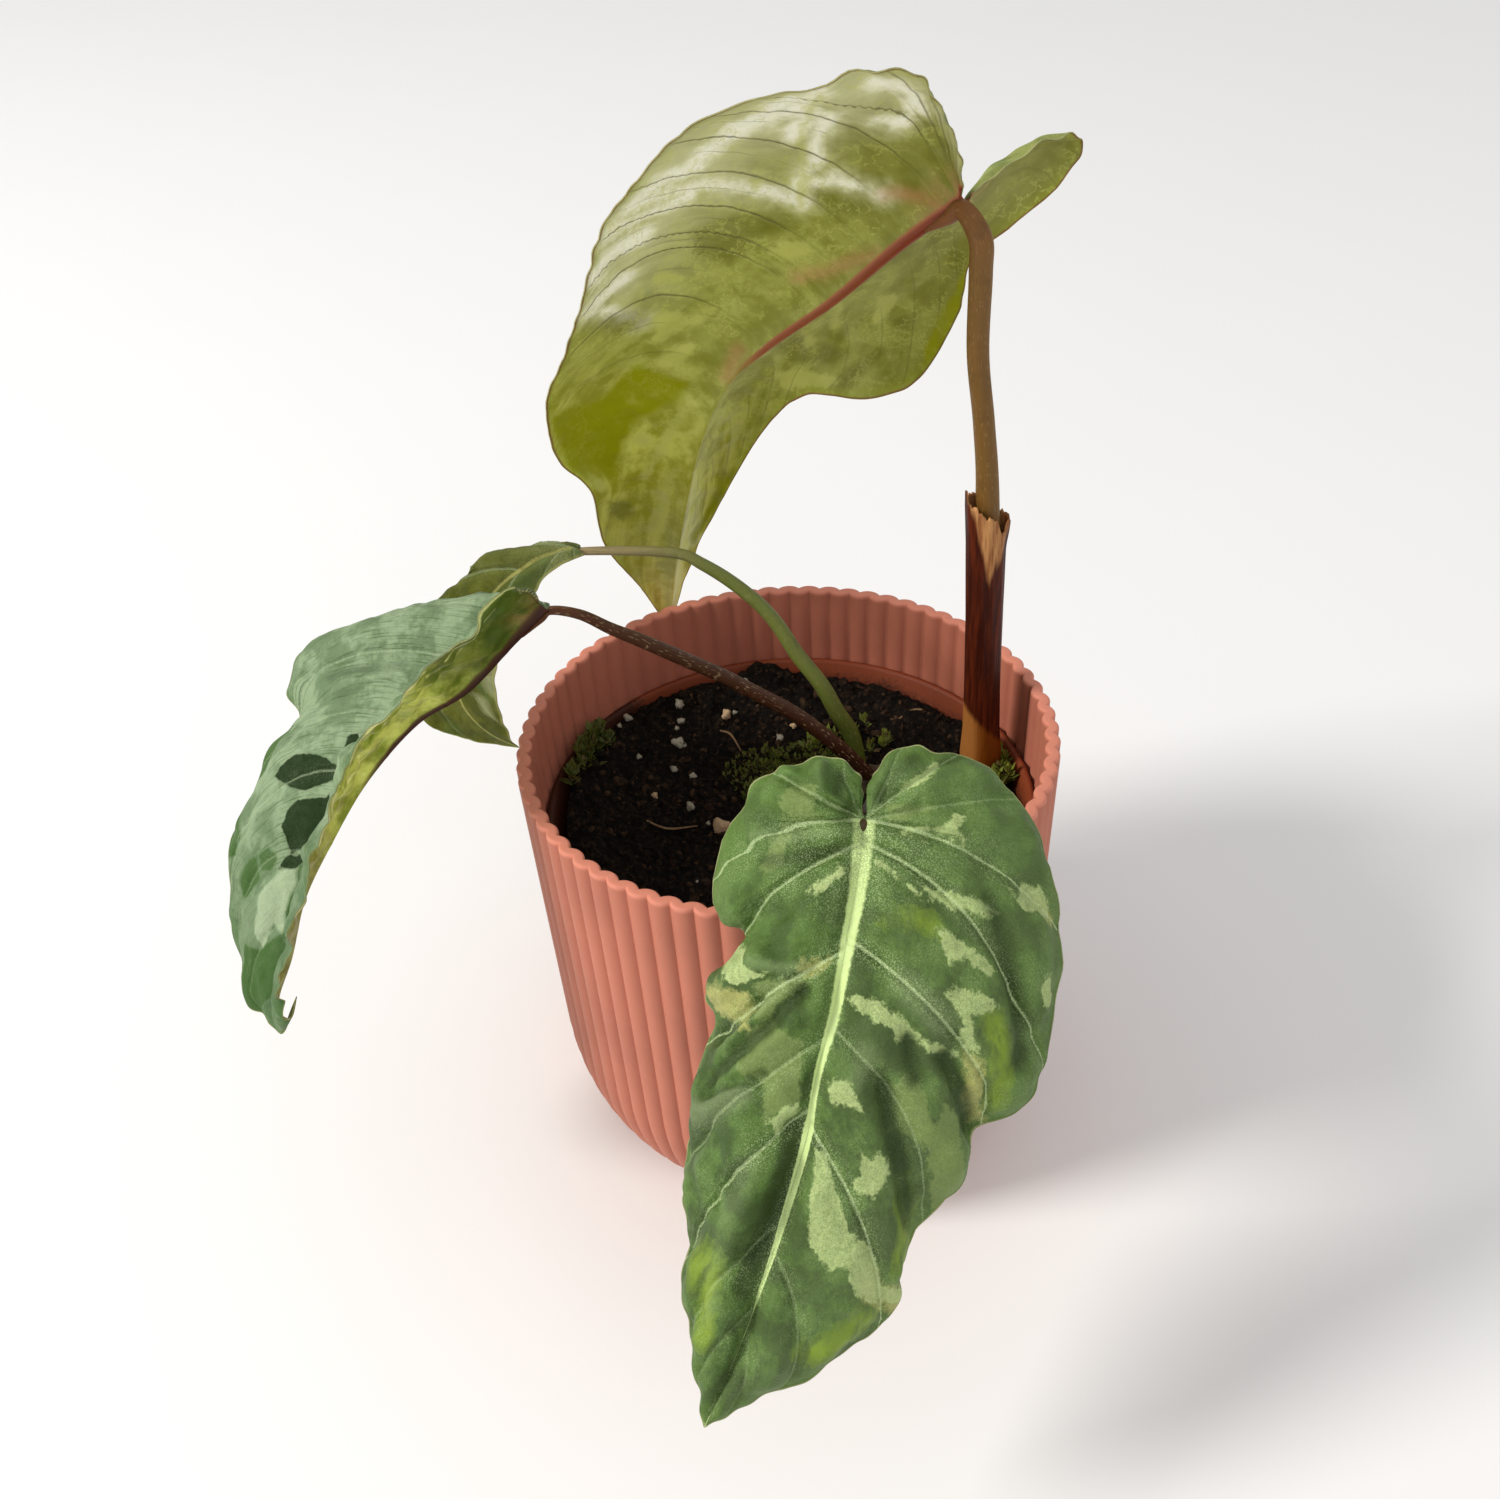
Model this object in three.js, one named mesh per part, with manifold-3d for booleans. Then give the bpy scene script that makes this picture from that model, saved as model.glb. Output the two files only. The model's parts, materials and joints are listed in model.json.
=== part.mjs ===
import * as THREE from 'three';
import { mergeVertices } from 'three/addons/utils/BufferGeometryUtils.js';
import manifoldModule from 'manifold-3d';

// A fluted cover pot, the grow pot inside it, potting mix, a creeping stem and four leaves on long stalks.
// Millimetres. The origin is the middle of the pot's base, +Z is up and -Y is the front.

const wasm = await manifoldModule();
wasm.setup();

const CLEARANCE = 0.3;
const FULL_TURN = 2 * Math.PI;

// Cover pot
const POT_HEIGHT = 124;
const POT_RIM_RADIUS = 70;
const POT_DRAFT = 0.033;
const POT_ROUND_HEIGHT = 40;
const POT_ROUND_RADIUS = 23;
const POT_FLOOR = 3.2;
const POT_INNER_ROUND_RADIUS = 20;
const POT_WALL = 4;
const RIM_EASE = 0.7;
const FLUTES = 72;
const FLUTE_DEPTH = 1.1;
const FLUTE_SAMPLES = 4;
const FLUTE_START = -0.344;

// Grow pot
const GROW_BASE_RADIUS = 41.5;
const GROW_SHOULDER_RADIUS = 62.6;
const GROW_SHOULDER_HEIGHT = 96;
const GROW_LIP_RADIUS = 64.8;
const GROW_HEIGHT = 102;
const GROW_WALL = 1.3;
const GROW_FLOOR = 1.4;
const DRAIN_HOLES = 6;
const DRAIN_RADIUS = 3.5;
const DRAIN_CIRCLE = 29;

// Potting mix
const MIX_LEVEL = 93.2;
const MIX_CROWN = 1.4;
const MIX_LUMP = 0.6;

// Leaves
const BLADE_THICKNESS = 0.8;
const COLUMNS = [0.05, 0.28, 0.55, 0.8, 1];
const FAN_ROWS = 6;
const MIDRIB_ROWS = 18;

const vector = ([x, y, z]) => new THREE.Vector3(x, y, z);
const spline = (points) => new THREE.CatmullRomCurve3(points.map(vector), false, 'catmullrom', 0.5);
const lerp = THREE.MathUtils.lerp;

/** A closed geometry from points and corner triples. */
function body(points, triangles) {
  const geometry = new THREE.BufferGeometry();
  geometry.setAttribute('position', new THREE.Float32BufferAttribute(points.flatMap((p) => [p.x, p.y, p.z]), 3));
  geometry.setIndex(triangles.flat());
  geometry.computeVertexNormals();
  return geometry;
}

/** A solid made of rings of equal length, closed at both ends by a fan to a middle point. */
function rings(list, first, last) {
  const points = [first, ...list.flat(), last];
  const count = list[0].length;
  const end = points.length - 1;
  const at = (row, column) => 1 + row * count + (column % count);
  const triangles = [];
  for (let column = 0; column < count; column += 1) {
    triangles.push([0, at(0, column + 1), at(0, column)]);
    triangles.push([end, at(list.length - 1, column), at(list.length - 1, column + 1)]);
    for (let row = 0; row + 1 < list.length; row += 1) {
      triangles.push([at(row, column), at(row, column + 1), at(row + 1, column)]);
      triangles.push([at(row, column + 1), at(row + 1, column + 1), at(row + 1, column)]);
    }
  }
  return body(points, triangles);
}

/** A ring about the Z axis, anticlockwise from the front; radius and height may vary with the angle. */
function turn(count, radius, height) {
  return Array.from({ length: count }, (_, i) => {
    const angle = (FULL_TURN * i) / count;
    const r = typeof radius === 'function' ? radius(angle) : radius;
    const z = typeof height === 'function' ? height(angle) : height;
    return new THREE.Vector3(r * Math.sin(angle), -r * Math.cos(angle), z);
  });
}

function toManifold(geometry) {
  const plain = new THREE.BufferGeometry();
  plain.setAttribute('position', geometry.getAttribute('position').clone());
  plain.setIndex(geometry.getIndex().clone());
  const merged = mergeVertices(plain, 1e-5);
  return new wasm.Manifold(new wasm.Mesh({
    numProp: 3,
    vertProperties: Float32Array.from(merged.getAttribute('position').array),
    triVerts: Uint32Array.from(merged.getIndex().array),
  }));
}

function fromManifold(solid) {
  const mesh = solid.getMesh();
  const geometry = new THREE.BufferGeometry();
  geometry.setAttribute('position', new THREE.Float32BufferAttribute(Float32Array.from(mesh.vertProperties), 3));
  geometry.setIndex(Array.from(mesh.triVerts));
  geometry.computeVertexNormals();
  return geometry;
}

/** The geometry with every cutter taken out of it. */
function cut(geometry, cutters) {
  return fromManifold(cutters.reduce((solid, cutter) => solid.subtract(toManifold(cutter)), toManifold(geometry)));
}

/** How far a flute's face lies from its crest: an arc between two sharp grooves, `shift` flutes along. */
function fluteDrop(angle, shift) {
  const place = ((angle - FLUTE_START) * FLUTES) / FULL_TURN + shift;
  const across = 2 * (place - Math.floor(place)) - 1;
  return FLUTE_DEPTH * across * across;
}

function potRadius(height) {
  const straight = POT_RIM_RADIUS - POT_DRAFT * (POT_HEIGHT - Math.max(height, POT_ROUND_HEIGHT));
  if (height >= POT_ROUND_HEIGHT) {
    return straight;
  }
  const below = 1 - height / POT_ROUND_HEIGHT;
  return straight - POT_ROUND_RADIUS * (1 - Math.sqrt(1 - below * below));
}

function potInnerRadius(height) {
  const straight = POT_RIM_RADIUS - POT_WALL - POT_DRAFT * (POT_HEIGHT - Math.max(height, POT_ROUND_HEIGHT));
  if (height >= POT_ROUND_HEIGHT) {
    return straight;
  }
  const below = (POT_ROUND_HEIGHT - height) / (POT_ROUND_HEIGHT - POT_FLOOR);
  return straight - POT_INNER_ROUND_RADIUS * (1 - Math.sqrt(Math.max(0, 1 - below * below)));
}

function coverPot() {
  const count = FLUTES * FLUTE_SAMPLES;
  const fade = (height) => THREE.MathUtils.smoothstep(height, 2, 26);
  const outside = (height, inset = 0) => turn(
    count, (angle) => potRadius(height) - inset - fade(height) * fluteDrop(angle, 0), height);
  const inside = (height, outset = 0) => turn(
    count, (angle) => potInnerRadius(height) + outset + fade(height) * fluteDrop(angle, 0.5), height);
  return rings([
    outside(0),
    outside(2.5),
    outside(8),
    outside(18),
    outside(POT_ROUND_HEIGHT),
    outside(POT_HEIGHT - RIM_EASE),
    outside(POT_HEIGHT, RIM_EASE),
    inside(POT_HEIGHT, RIM_EASE),
    inside(POT_HEIGHT - RIM_EASE),
    inside(POT_ROUND_HEIGHT),
    inside(14),
    inside(POT_FLOOR),
  ], new THREE.Vector3(0, 0, 0), new THREE.Vector3(0, 0, POT_FLOOR));
}

const growFloor = POT_FLOOR + CLEARANCE;

/** The grow pot's inner radius at a height. */
function growInnerRadius(height) {
  const along = (height - growFloor) / (GROW_SHOULDER_HEIGHT - growFloor);
  return lerp(GROW_BASE_RADIUS, GROW_SHOULDER_RADIUS, along) - GROW_WALL;
}

function growPot() {
  const count = 72;
  const top = growFloor + GROW_FLOOR;
  const shell = rings([
    turn(count, GROW_BASE_RADIUS, growFloor),
    turn(count, GROW_SHOULDER_RADIUS, GROW_SHOULDER_HEIGHT),
    turn(count, GROW_LIP_RADIUS, GROW_SHOULDER_HEIGHT + 0.8),
    turn(count, GROW_LIP_RADIUS, GROW_HEIGHT - 0.6),
    turn(count, GROW_LIP_RADIUS - 0.8, GROW_HEIGHT),
    turn(count, growInnerRadius(GROW_HEIGHT) + 0.6, GROW_HEIGHT),
    turn(count, growInnerRadius(GROW_SHOULDER_HEIGHT), GROW_SHOULDER_HEIGHT),
    turn(count, growInnerRadius(top), top),
  ], new THREE.Vector3(0, 0, growFloor), new THREE.Vector3(0, 0, top));
  const holes = Array.from({ length: DRAIN_HOLES }, (_, i) => {
    const angle = (FULL_TURN * (i + 0.5)) / DRAIN_HOLES;
    const hole = new THREE.CylinderGeometry(DRAIN_RADIUS, DRAIN_RADIUS, 3 * GROW_FLOOR, 16);
    hole.rotateX(Math.PI / 2);
    hole.translate(DRAIN_CIRCLE * Math.sin(angle), -DRAIN_CIRCLE * Math.cos(angle), growFloor + GROW_FLOOR / 2);
    return hole;
  });
  return cut(shell, holes);
}

/** Height of the potting mix: a low crown with lumps. */
function mixHeight(x, y) {
  const r = Math.hypot(x, y) / GROW_SHOULDER_RADIUS;
  const lumps = Math.sin(x / 5.1 + 0.7) * Math.sin(y / 6.3 - 0.4) + 0.5 * Math.sin((x + y) / 3.7);
  return MIX_LEVEL + MIX_CROWN * (1 - r * r) + MIX_LUMP * lumps * 0.66;
}

function pottingMix(cutters) {
  const count = 48;
  const low = growFloor + GROW_FLOOR + CLEARANCE;
  const edge = growInnerRadius(MIX_LEVEL - 1) - CLEARANCE;
  const surface = [1, 0.84, 0.68, 0.52, 0.36, 0.18].map((share) => turn(count, edge * share, 0).map((p) => {
    return new THREE.Vector3(p.x, p.y, share === 1 ? MIX_LEVEL - 1 : mixHeight(p.x, p.y));
  }));
  const middle = new THREE.Vector3(0, 0, mixHeight(0, 0));
  const solid = rings(
    [turn(count, growInnerRadius(low) - CLEARANCE, low), ...surface], new THREE.Vector3(0, 0, low), middle);
  return cut(solid, cutters);
}

/** A stalk along a spline: `radii` are spread evenly over its length and both ends are domed. */
function stalk(points, radii, rows, sides, grow = 0) {
  const curve = spline(points);
  const width = new THREE.SplineCurve(radii.map((r, i) => new THREE.Vector2(i, r + grow)));
  const list = [];
  let across = new THREE.Vector3(0, 1, 0);
  const ring = (t, scale, shift) => {
    const tangent = curve.getTangent(t);
    across = across.clone().addScaledVector(tangent, -across.dot(tangent)).normalize();
    const other = tangent.clone().cross(across);
    const radius = width.getPoint(t).y;
    const centre = curve.getPoint(t).addScaledVector(tangent, shift * radius);
    return Array.from({ length: sides }, (_, i) => {
      const angle = (FULL_TURN * i) / sides;
      return centre.clone()
        .addScaledVector(across, scale * radius * Math.cos(angle))
        .addScaledVector(other, scale * radius * Math.sin(angle));
    });
  };
  list.push(ring(0, 0.7, -0.35));
  for (let row = 0; row <= rows; row += 1) {
    list.push(ring(row / rows, 1, 0));
  }
  list.push(ring(1, 0.7, 0.35));
  const tip = (t, sign) => curve.getPoint(t).addScaledVector(curve.getTangent(t), sign * width.getPoint(t).y * 0.5);
  return rings(list, tip(0, -1), tip(1, 1));
}

/** The straight hole that a stalk's foot stands in. */
function socket(points, radii) {
  const foot = vector(points[0]);
  const way = vector(points[1]).sub(foot).normalize();
  const low = foot.clone().addScaledVector(way, -CLEARANCE);
  const high = foot.clone().addScaledVector(way, 12);
  return stalk([low.toArray(), high.toArray()], [radii[0], radii[0]], 1, 12, CLEARANCE);
}

/** Where an edge's share of the midrib reaches `share`, as the edge spline's own 0 to 1. */
function edgePlace(edge, share) {
  const i = edge.findIndex((p, k) => k > 0 && p[3] > share - 1e-9 && edge[k - 1][3] <= share && p[3] > edge[k - 1][3]);
  return (i - 1 + (share - edge[i - 1][3]) / (edge[i][3] - edge[i - 1][3])) / (edge.length - 1);
}

/**
 * A blade of two halves that share the midrib. Each half is swept from the midrib to its edge, and its
 * basal lobe is a fan about the joint. An edge point is [x, y, z, share of the midrib's length it faces].
 * The blade's underside carries a ridge below the midrib; `under` is 1 where the underside faces the front.
 */
function blade({ mid, left, right, arches, under, ridge }) {
  const midrib = spline(mid);
  const points = [];
  const triangles = [];
  const add = (p) => points.push(p) - 1;
  const spine = Array.from({ length: MIDRIB_ROWS + 1 }, (_, k) => add(midrib.getPoint(k / MIDRIB_ROWS)));
  [left, right].forEach((half, side) => {
    const edge = [...half, [...mid[mid.length - 1], 1]];
    const outline = spline(edge);
    const fanEnd = (half.filter((p) => p[3] === 0).length - 1) / (edge.length - 1);
    const stations = [];
    for (let row = 0; row < FAN_ROWS + MIDRIB_ROWS; row += 1) {
      const step = Math.max(0, row - FAN_ROWS);
      const place = row <= FAN_ROWS ? (fanEnd * row) / FAN_ROWS : edgePlace(edge, step / MIDRIB_ROWS);
      const from = points[spine[step]];
      stations.push({ step, from, to: outline.getPoint(place) });
    }
    const widest = Math.max(...stations.map(({ from, to }) => from.distanceTo(to)));
    const rows = stations.map(({ step, from, to }) => [spine[step], ...COLUMNS.map((v) => {
      const swell = 4 * v * (1 - v) * (from.distanceTo(to) / widest);
      return add(from.clone().lerp(to, v).addScaledVector(vector(arches[side]), swell));
    })]);
    rows.push(rows[0].map(() => spine[MIDRIB_ROWS]));
    for (let row = 0; row + 1 < rows.length; row += 1) {
      for (let column = 0; column < COLUMNS.length; column += 1) {
        const [a, d] = [rows[row][column], rows[row][column + 1]];
        const [b, e] = [rows[row + 1][column], rows[row + 1][column + 1]];
        const pair = side === 0 ? [[a, d, b], [b, d, e]] : [[a, b, d], [b, e, d]];
        triangles.push(...pair.filter((t) => new Set(t).size === 3));
      }
    }
  });

  const normals = points.map(() => new THREE.Vector3());
  const face = new THREE.Triangle();
  const flat = new THREE.Vector3();
  triangles.forEach((t) => {
    face.set(...t.map((i) => points[i]));
    face.getNormal(flat).multiplyScalar(face.getArea());
    t.forEach((i) => normals[i].add(flat));
  });
  const shift = (side) => points.map((p, i) => {
    const step = spine.indexOf(i);
    const rib = side === under && step >= 0 ? ridge * (1 - step / MIDRIB_ROWS) : 0;
    return p.clone().addScaledVector(normals[i].normalize(), side * (BLADE_THICKNESS / 2 + rib));
  });
  const count = points.length;
  const all = [...shift(1), ...shift(-1)];
  const faces = [...triangles, ...triangles.map(([a, b, c]) => [a + count, c + count, b + count])];
  const seen = new Set(triangles.flatMap(([a, b, c]) => [`${a} ${b}`, `${b} ${c}`, `${c} ${a}`]));
  triangles.forEach(([a, b, c]) => {
    [[a, b], [b, c], [c, a]].filter(([p, q]) => !seen.has(`${q} ${p}`)).forEach(([p, q]) => {
      faces.push([q, p, p + count], [q, p + count, q + count]);
    });
  });
  return body(all, faces);
}

const TALL_LEAF = {
  mid: [
    [44, 20, 253], [32, 27, 242], [16, 34, 226], [0, 37, 214], [-11, 39, 203], [-19, 44, 184],
    [-25, 54, 158], [-30, 67, 131], [-34, 81, 103],
  ],
  left: [
    [44, 18, 257, 0], [42, 12, 267, 0], [37, 4, 279, 0], [31, -4, 288, 0], [20, -7, 290, 0],
    [12, -7, 287, 0.03], [1, -8, 287, 0.08], [-11, -7, 282, 0.15], [-22, -5, 274, 0.23], [-32, 0, 261, 0.32],
    [-39, 8, 245, 0.41], [-46, 16, 225, 0.5], [-54, 24, 208, 0.58], [-54, 33, 188, 0.68], [-48, 41, 174, 0.76],
    [-47, 53, 150, 0.85], [-40, 68, 126, 0.93],
  ],
  right: [
    [47, 21, 255, 0], [53, 24, 258, 0], [62, 28, 262, 0], [70, 33, 262, 0], [73, 37, 257, 0], [68, 39, 248, 0],
    [58, 38, 240, 0.02], [49, 40, 231, 0.06], [47, 49, 213, 0.13], [38, 58, 192, 0.22], [25, 58, 188, 0.31],
    [9, 51, 193, 0.4], [-2, 57, 181, 0.52], [-17, 71, 149, 0.7], [-26, 74, 129, 0.86],
  ],
  arches: [[-1, 8, 4], [1, 6, 4]],
  under: 1,
  ridge: 1.4,
};

const FRONT_LEAF = {
  mid: [
    [15, -84, 165], [13, -94, 157], [10, -103, 148], [7, -111, 138], [3, -118, 127], [0, -126, 115],
    [-6, -135, 99], [-11, -142, 88], [-16, -147, 76], [-24, -156, 62],
  ],
  left: [
    [15, -80, 168, 0], [14, -76, 170, 0], [9, -73, 173, 0], [1, -73, 171, 0], [-5, -72, 168, 0],
    [-12, -75, 158, 0], [-17, -80, 145, 0.02], [-16, -83, 137, 0.06], [-11, -88, 139, 0.09],
    [-13, -89, 132, 0.13], [-19, -92, 125, 0.17], [-18, -96, 121, 0.22], [-22, -101, 109, 0.31],
    [-26, -113, 94, 0.45], [-26, -123, 88, 0.56], [-27, -136, 78, 0.7], [-26, -144, 71, 0.8], [-25, -151, 65, 0.92],
  ],
  right: [
    [17, -78, 169, 0], [19, -76, 173, 0], [25, -73, 175, 0], [30, -75, 174, 0], [38, -73, 171, 0],
    [47, -77, 163, 0], [53, -84, 152, 0], [55, -92, 141, 0.04], [53, -103, 127, 0.12], [50, -111, 116, 0.2],
    [44, -116, 110, 0.27], [35, -120, 110, 0.32], [33, -124, 101, 0.37], [23, -131, 95, 0.44],
    [19, -136, 86, 0.51], [14, -142, 76, 0.6], [-2, -149, 68, 0.74], [-18, -153, 63, 0.9],
  ],
  arches: [[-3, -6, 5], [3, -5, 4]],
  under: -1,
  ridge: 1,
};

const LEFT_LEAF = {
  mid: [
    [-57, -2, 167], [-66, -4, 159], [-78, -9, 149], [-91, -15, 144], [-104, -23, 133], [-114, -31, 120],
    [-122, -37, 107], [-127, -43, 93], [-132, -47, 82], [-132, -50, 74], [-127, -47, 83],
  ],
  left: [
    [-61, 2, 167, 0], [-68, 9, 164, 0], [-76, 15, 156, 0], [-85, 18, 153, 0], [-99, 20, 148, 0.02],
    [-114, 20, 146, 0.08], [-125, 17, 144, 0.16], [-130, 12, 136, 0.24], [-126, 6, 132, 0.29],
    [-135, 2, 123, 0.38], [-143, -7, 111, 0.46], [-147, -17, 101, 0.53], [-146, -29, 86, 0.63],
    [-144, -38, 73, 0.72], [-137, -45, 73, 0.8], [-132, -50, 73, 0.9],
  ],
  right: [
    [-58, -6, 172, 0], [-62, -12, 180, 0], [-69, -18, 177, 0.02], [-72, -23, 174, 0.07], [-80, -30, 171, 0.15],
    [-87, -35, 166, 0.24], [-94, -39, 161, 0.32], [-102, -42, 153, 0.4], [-103, -44, 148, 0.44],
    [-110, -48, 135, 0.53], [-116, -52, 122, 0.63], [-123, -55, 106, 0.73], [-128, -55, 92, 0.82],
    [-128, -52, 80, 0.92],
  ],
  arches: [[-4, 3, 6], [4, -8, 0]],
  under: -1,
  ridge: 0.9,
};

const BACK_LEAF = {
  mid: [
    [-53, 38, 159], [-64, 42, 153], [-77, 50, 140], [-89, 60, 120], [-97, 66, 102], [-98, 68, 88],
    [-92, 66, 79], [-82, 62, 75],
  ],
  left: [
    [-56, 40, 160, 0], [-61, 44, 156, 0], [-68, 48, 151, 0], [-78, 54, 141, 0.05], [-83, 57, 138, 0.1],
    [-88, 60, 137, 0.14], [-93, 64, 125, 0.2], [-106, 72, 110, 0.3], [-117, 78, 93, 0.42], [-117, 78, 82, 0.55],
    [-108, 75, 73, 0.72], [-93, 69, 72, 0.88],
  ],
  right: [
    [-51, 36, 158, 0], [-55, 35, 157, 0], [-58, 36, 155, 0.02], [-63, 38, 150, 0.1], [-67, 41, 143, 0.18],
    [-73, 45, 134, 0.28], [-78, 49, 124, 0.38], [-83, 53, 112, 0.5], [-85, 57, 100, 0.62], [-85, 60, 87, 0.76],
    [-84, 61, 79, 0.9],
  ],
  arches: [[-5, 4, 5], [-3, 2, 4]],
  under: -1,
  ridge: 0.9,
};

const TALL_STALK = {
  points: [
    [52.4, 14, 90], [52.1, 14, 121], [51.8, 14, 152], [51.5, 14, 183], [50, 14, 202], [48, 14, 220], [48, 14, 239],
    [47.6, 14.2, 247], [45.5, 16.7, 251.6],
  ],
  radii: [4, 4, 3.9, 2.9, 2.6, 2.6, 2.7, 2.7, 2.2],
  rows: 30,
};

const FRONT_STALK = {
  points: [
    [29, 9.5, 92], [26, 0, 110], [24, -14, 125], [22, -32, 140], [20, -52, 152], [17.5, -70, 160], [15.3, -81.8, 163.5],
  ],
  radii: [2.3, 2.2, 2.1, 2, 1.9, 1.8, 1.5],
  rows: 22,
};

const LEFT_STALK = {
  points: [
    [25, 14, 92], [18, 14, 102], [12, 13, 110], [3, 12, 120], [-7, 10, 129], [-16, 8, 137], [-25, 6, 144],
    [-34, 4, 151], [-42, 2, 157], [-49, 0, 163], [-55.1, -1.8, 165.7],
  ],
  radii: [2.15, 2.1, 2, 1.9, 1.8, 1.4],
  rows: 22,
};

const BACK_STALK = {
  points: [
    [20, 18, 92], [18, 21, 105], [14, 22, 113], [10, 24, 121], [4, 27, 129], [-1, 30, 137], [-6, 32, 143],
    [-13, 34, 149], [-20, 35, 154], [-26, 36, 157], [-38, 37, 158], [-50.3, 38, 158.2],
  ],
  radii: [2.35, 2.3, 2.1, 1.9, 1.75, 1.4],
  rows: 24,
};

const CREEPING_STEM = {
  points: [[-14, 17, 87.5], [0, 18, 89.5], [18, 16, 90], [36, 13, 90], [50.5, 13.5, 88]],
  radii: [5, 7, 7.5, 7.2, 6.3],
  rows: 12,
};

const stalkOf = ({ points, radii, rows }, grow = 0) => stalk(points, radii, rows, 12, grow);
const stemBed = stalkOf(CREEPING_STEM, CLEARANCE + 0.1);

// Sheath: a torn papery sleeve that the tall stalk came out of
const SHEATH_FOOT = 94.5;
const SHEATH_TOP = 179;
const SHEATH_RINGS = [
  { z: 0, outer: 5.4, inner: 4.6 },
  { z: 0.1, outer: 5.5, inner: 4.5 },
  { z: 0.3, outer: 5, inner: 4.4 },
  { z: 0.65, outer: 5, inner: 4.4 },
  { z: 0.85, outer: 5.1, inner: 4.4 },
  { z: 1, outer: 5.3, inner: 4.7 },
];

function sheath() {
  const sides = 20;
  const tear = (angle) => 0.5 - 3.5 * Math.sin(angle) - 2.5 * Math.max(0, Math.sin(angle - 0.2)) ** 6;
  const loop = ({ z, outer }, radius) => Array.from({ length: sides }, (_, i) => {
    const angle = (FULL_TURN * i) / sides;
    const height = lerp(SHEATH_FOOT, SHEATH_TOP + tear(angle), z);
    const lean = lerp(52.4, 51.5, (height - 90) / 93);
    return new THREE.Vector3(lean + radius * Math.sin(angle), 14 - radius * Math.cos(angle), height);
  });
  const outer = SHEATH_RINGS.map((ring) => loop(ring, ring.outer));
  const inner = SHEATH_RINGS.map((ring) => loop(ring, ring.inner)).reverse();
  const list = [...outer, ...inner];
  const points = list.flat();
  const at = (row, column) => (row % list.length) * sides + (column % sides);
  const triangles = list.flatMap((_, row) => Array.from({ length: sides }, (__, column) => [
    [at(row, column), at(row, column + 1), at(row + 1, column)],
    [at(row, column + 1), at(row + 1, column + 1), at(row + 1, column)],
  ]).flat());
  return cut(body(points, triangles), [stemBed]);
}

const sockets = [TALL_STALK, FRONT_STALK, LEFT_STALK, BACK_STALK].map(({ points, radii }) => socket(points, radii));

const NODES = [
  ['cover_pot', coverPot, 0xd08573, 0.6],
  ['nursery_pot', growPot, 0xa1492c, 0.6],
  ['potting_mix', () => pottingMix([stemBed, ...sockets]), 0x1d1612, 1],
  ['rhizome', () => cut(stalkOf(CREEPING_STEM), sockets), 0x4a4020, 0.9],
  ['sheath', sheath, 0x5a2418, 0.6],
  ['petiole_tall', () => stalkOf(TALL_STALK), 0x7a6a35, 0.5],
  ['petiole_front', () => stalkOf(FRONT_STALK), 0x6d6a38, 0.5],
  ['petiole_left', () => stalkOf(LEFT_STALK), 0x5b3a28, 0.5],
  ['petiole_back', () => stalkOf(BACK_STALK), 0x74864f, 0.5],
  ['blade_tall', () => blade(TALL_LEAF), 0x98a558, 0.45],
  ['blade_front', () => blade(FRONT_LEAF), 0x47703f, 0.5],
  ['blade_left', () => blade(LEFT_LEAF), 0x6f8f68, 0.5],
  ['blade_back', () => blade(BACK_LEAF), 0x7a9140, 0.5],
];

const part = new THREE.Group();
part.name = 'potted_plant';
NODES.forEach(([name, make, color, roughness]) => {
  const mesh = new THREE.Mesh(make(), new THREE.MeshStandardMaterial({ color, roughness, metalness: 0 }));
  mesh.name = name;
  part.add(mesh);
});

export default part;
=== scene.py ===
"""Looks for a variegated philodendron in its grow pot and fluted cover pot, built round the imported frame.

Shapes are worked out in millimetres, with the origin in the middle of the pot's base, +Z up and -Y to the front,
and go into Blender in metres.
"""

import functools
import json
import math

import bpy
import numpy as np
from bpy.props import FloatProperty, FloatVectorProperty, IntProperty, PointerProperty
from mathutils import Matrix

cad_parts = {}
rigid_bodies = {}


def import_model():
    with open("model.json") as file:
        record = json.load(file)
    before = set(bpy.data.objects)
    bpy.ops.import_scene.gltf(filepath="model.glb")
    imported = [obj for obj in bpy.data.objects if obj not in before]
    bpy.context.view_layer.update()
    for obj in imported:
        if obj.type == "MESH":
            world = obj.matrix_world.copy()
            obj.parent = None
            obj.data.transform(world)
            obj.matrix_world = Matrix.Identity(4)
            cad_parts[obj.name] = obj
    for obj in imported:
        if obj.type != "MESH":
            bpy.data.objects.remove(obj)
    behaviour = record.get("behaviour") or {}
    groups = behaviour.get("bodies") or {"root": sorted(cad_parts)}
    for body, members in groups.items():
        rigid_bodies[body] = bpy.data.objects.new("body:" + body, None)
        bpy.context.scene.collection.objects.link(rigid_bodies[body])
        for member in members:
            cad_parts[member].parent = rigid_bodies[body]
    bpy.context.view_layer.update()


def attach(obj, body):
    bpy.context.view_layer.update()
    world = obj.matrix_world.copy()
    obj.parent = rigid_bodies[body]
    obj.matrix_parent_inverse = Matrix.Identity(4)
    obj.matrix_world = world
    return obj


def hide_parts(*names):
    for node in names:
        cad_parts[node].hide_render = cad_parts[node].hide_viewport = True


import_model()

bl_info = {
    "name": "Potted Philodendron",
    "version": (1, 0, 0),
    "blender": (4, 5, 0),
    "location": "3D View > Sidebar > Plant",
    "description": "A variegated creeping philodendron with four leaves in a fluted cover pot",
    "category": "Object",
}

MM = 0.001
TURN = 2 * math.pi

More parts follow.
